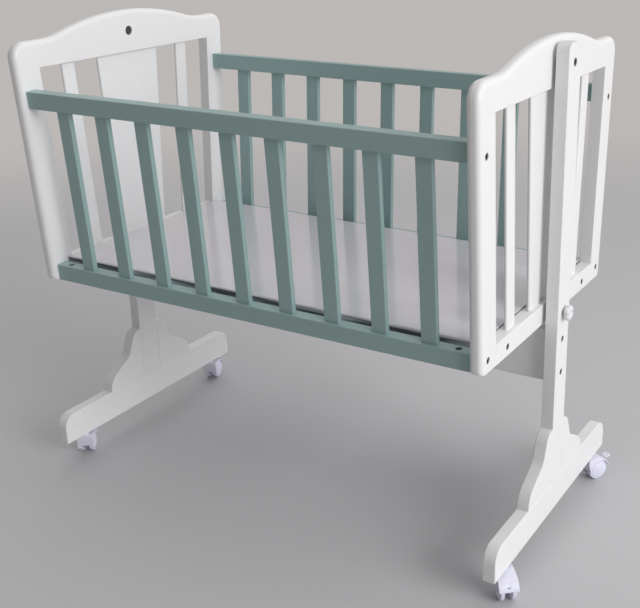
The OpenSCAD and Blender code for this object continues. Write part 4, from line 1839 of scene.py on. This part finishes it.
    def outline(self) -> list[tuple[float, float]]:
        """Gives the hood's side view: round over the wheels, upright under the neck.

        Returns:
            Its corners in X and Z.
        """
        low = math.asin((self.hood_low - self.wheel_r) / self.hood_r)
        tail = math.asin((self.tail_low - self.wheel_r) / self.hood_r)
        tail_x = self.trail + self.tail_from
        head = math.pi - low
        spots = self.on_arc(self.hood_r, (head, head - self.head_span), self.head_steps)
        spots += [
            (-self.neck_r, self.neck_low), (-self.neck_r, self.hood_top - self.wall),
            (self.wall - self.neck_r, self.hood_top), (self.neck_r, self.hood_top),
        ]
        spots += self.on_arc(self.hood_r, (self.back_from, tail), self.back_steps)
        return spots + [(tail_x, self.tail_low), (tail_x, self.hood_low)]

    def hood_edge(self, edge: bmesh.types.BMEdge) -> float:
        """Rounding of a hood: more where its flanks meet its round top.

        Args:
            edge: the edge.

        Returns:
            Its radius.
        """
        at = middle(edge)
        far = math.hypot(at.x - self.trail, at.z - self.wheel_r)
        beside = abs(abs(at.y) - self.face_at) < CLOSE
        sloped = min(abs(f.normal.y) for f in edge.link_faces) < SLOPED
        if beside and sloped and far > self.hood_r - self.shoulder_in:
            return self.shoulder_r
        return self.fine_r

    def hood(self, corner: str) -> bpy.types.Object:
        """Makes a hood with eased edges, open between the wheels at both ends.

        Args:
            corner: the caster's place in the stand.

        Returns:
            The piece.
        """
        made = prism(f"{corner}_hood", self.outline(), self.face_at)
        beyond = 2 * self.hood_r
        head_x = self.trail + self.head_from
        head = [(-beyond, 0), (head_x, 0), (head_x, self.head_low), (-beyond, self.head_low)]
        room_r = self.hood_r - self.wall
        tools = [
            self.drum(self.web_half, beyond, room_r, self.across_axle()),
            self.drum(-beyond, -self.web_half, room_r, self.across_axle()),
            self.drum(-beyond, beyond, self.axle_r + self.play, self.across_axle()),
            prism("head", head, self.inner_at),
        ]
        if corner in self.braked:
            tools += self.brake_slot()
        else:
            tools.append(self.sunk_mark(self.mark_arc, self.mark_half, self.mark_depth))
            tools.append(self.sunk_mark(self.dash_arc, self.dash_half, self.dash_depth))
        carve(made, tools)
        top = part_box(f"{corner}_caster")[1].z
        neck = self.drum(self.hood_top - self.wall, self.neck_top, self.neck_r - self.play, Matrix())
        stem = self.drum(self.hood_top, top, self.stem_r, Matrix())
        carve(made, [neck, stem], Joining.ADD)
        round_edges(made, self.hood_edge, self.shelf.get(HOOD_PLASTIC))
        return made

    def brake(self, corner: str) -> bpy.types.Object:
        """Makes a brake lever with eased edges and a sunk mark on its tab.

        Args:
            corner: the caster's place in the stand.

        Returns:
            The piece.
        """
        made = node_copy(f"{corner}_brake", f"{corner}_lever")
        made.data.transform(self.places[corner].inverted())
        start, end = Vector(self.tab_from), Vector(self.tab_to)
        along = (end - start).normalized()
        up = Vector((-along.y, along.x)) * self.groove
        pin = Vector((self.trail + self.pin[0], self.wheel_r + self.pin[1]))
        low, high = (pin + start.lerp(end, share) for share in self.tab_mark_share)
        outline = [tuple(c) for c in (low - up, high - up, high + up, low + up)]
        carve(made, [prism("mark", outline, self.tab_mark_half)])
        round_edges(made, lambda edge: self.fine_r, self.shelf.get(HOOD_PLASTIC), steps=2)
        return made

    def build(self) -> None:
        """Makes the hoods, the wheels and the brake levers, and puts them in their places."""
        for corner in self.corners:
            made = [
                ("caster", self.hood(corner), "hood_plastic"),
                ("wheels", self.wheels(corner), "wheel_plastic"),
            ]
            if corner in self.braked:
                made.append(("brake", self.brake(corner), "hood_plastic"))
            for part, obj, slot in made:
                obj.data.transform(self.places[corner])
                self.keep(obj, f"{corner}_{part}", slot, f"{corner}_{part}")


# ------------------------------------------------------------------------------------ studio
@dataclass
class Studio:
    """The camera, the pale floor and the soft light.

    The camera's turns are in degrees, and a name in _px is in pixels of an image of image_w by image_h.
    """

    focal_px: float = 1035.94
    image_w: float = 640.0
    image_h: float = 608.0
    centre_px: tuple[float, float] = (409.99, 277.03)
    sensor: float = 36.0
    clip: tuple[float, float] = (0.05, 100.0)
    eye: tuple[float, float, float] = (1.0225, -1.4922, 1.0630)
    yaw: float = 29.31
    pitch: float = -20.27
    roll: float = -0.47
    backdrop: Colour = (0.50, 0.48, 0.47)
    floor: Colour = (0.53, 0.52, 0.53)
    horizon: Colour = (0.02, 0.02, 0.02)
    zenith: Colour = (1.10, 1.10, 1.11)
    fill_from: tuple[float, float, float] = (0.1, 0.55, 0.8)
    window_watts: float = 204.0
    window_size: float = 3.2
    window_at: tuple[float, float, float] = (5.2, -1.2, 2.4)
    aim_at: tuple[float, float, float] = (0.0, 0.0, 0.45)
    floor_r: float = 14.0
    floor_sides: int = 96
    floor_roughness: float = 0.7
    fade: tuple[float, float] = (1.7, 3.4)

    def camera(self) -> None:
        """Places the camera where the photograph was taken from."""
        yaw, pitch, roll = (math.radians(a) for a in (self.yaw, self.pitch, self.roll))
        level = math.cos(pitch)
        forward = Vector((-math.sin(yaw) * level, math.cos(yaw) * level, math.sin(pitch)))
        right = Vector((math.cos(yaw), math.sin(yaw), 0))
        up = right.cross(forward)
        across = right * math.cos(roll) + up * math.sin(roll)
        above = -right * math.sin(roll) + up * math.cos(roll)
        data = bpy.data.cameras.new("camera")
        data.sensor_fit = "HORIZONTAL"
        data.sensor_width = self.sensor
        data.lens = self.focal_px * self.sensor / self.image_w
        data.shift_x = 0.5 - self.centre_px[0] / self.image_w
        data.shift_y = (self.centre_px[1] - self.image_h / 2) / self.image_w
        data.clip_start, data.clip_end = self.clip
        made = bpy.data.objects.new("camera", data)
        turned = Matrix((across, above, -forward)).transposed().to_4x4()
        made.matrix_world = Matrix.Translation(self.eye) @ turned
        bpy.context.scene.collection.objects.link(made)
        bpy.context.scene.camera = made

    def lamp(self) -> None:
        """Hangs one large square lamp beyond the near end, facing the middle of the cradle."""
        data = bpy.data.lights.new("window", "AREA")
        data.shape = "SQUARE"
        data.size = self.window_size
        data.energy = self.window_watts
        made = bpy.data.objects.new("window", data)
        made.location = self.window_at
        aim = Vector(self.aim_at) - Vector(self.window_at)
        made.rotation_euler = aim.to_track_quat("-Z", "Y").to_euler()
        bpy.context.scene.collection.objects.link(made)

    def fill(self) -> None:
        """Fills the shade softly from above, and shows the camera one plain backdrop."""
        world = bpy.data.worlds.new("studio")
        bpy.context.scene.world = world
        world.use_nodes = True
        w = Wiring(world.node_tree)
        paths = w.add("ShaderNodeLightPath").outputs
        seen = w.sum("MAXIMUM", paths["Is Camera Ray"], paths["Is Glossy Ray"])
        seen = w.sum("MAXIMUM", seen, paths["Is Transmission Ray"])
        soft, shown = w.add("ShaderNodeBackground"), w.add("ShaderNodeBackground")
        toward = w.add("ShaderNodeVectorMath", operation="DOT_PRODUCT")
        w.join(w.add("ShaderNodeTexCoord").outputs["Generated"], toward.inputs[0])
        toward.inputs[1].default_value = Vector(self.fill_from).normalized()
        w.join(w.blend(toward.outputs["Value"], self.horizon, self.zenith), soft.inputs["Color"])
        shown.inputs["Color"].default_value = (*self.backdrop, 1)
        mixed = w.mixed(seen, soft.outputs[0], shown.outputs[0])
        w.join(mixed, w.add("ShaderNodeOutputWorld").inputs["Surface"])

    def ground(self) -> None:
        """Lays a pale floor that melts into the backdrop's tone far from the object."""
        bm = bmesh.new()
        bmesh.ops.create_circle(bm, cap_ends=True, radius=self.floor_r, segments=self.floor_sides)
        mesh = bpy.data.meshes.new("floor")
        bm.to_mesh(mesh)
        bm.free()
        made = new_object("floor", mesh)
        paint = bpy.data.materials.new("floor")
        paint.use_nodes = True
        w = Wiring(paint.node_tree)
        place = w.add("ShaderNodeTexCoord").outputs["Object"]
        far = w.add("ShaderNodeVectorMath", operation="LENGTH")
        w.join(place, far.inputs[0])
        mask = w.ramp(far.outputs["Value"], *self.fade)
        matt = w.add("ShaderNodeBsdfPrincipled")
        matt.inputs["Base Color"].default_value = (*self.floor, 1)
        matt.inputs["Roughness"].default_value = self.floor_roughness
        glow = w.add("ShaderNodeEmission")
        glow.inputs["Color"].default_value = (*self.backdrop, 1)
        mixed = w.mixed(mask, matt.outputs[0], glow.outputs[0])
        w.join(mixed, w.add("ShaderNodeOutputMaterial").inputs["Surface"])
        mesh.materials.append(paint)

    def build(self) -> None:
        """Sets up the camera, the light and the floor."""
        self.camera()
        self.lamp()
        self.fill()
        self.ground()
        bpy.context.scene.view_settings.view_transform = "Standard"


def main() -> None:
    """Builds and dresses every sub-assembly in order, and reports its pieces."""
    logging.basicConfig(level=logging.INFO, format="%(message)s")
    shelf = Shelf()
    Studio().build()
    for kind in (EndPanels, SidePanels, Deck, Stand, Fasteners, SwingLock, Casters):
        part = kind(shelf)
        part.build()
        part.dress()
        for piece in part.pieces:
            log.info("%s: %s, %d faces", kind.__name__, piece.name, len(piece.data.polygons))


if __name__ == "__main__":
    main()
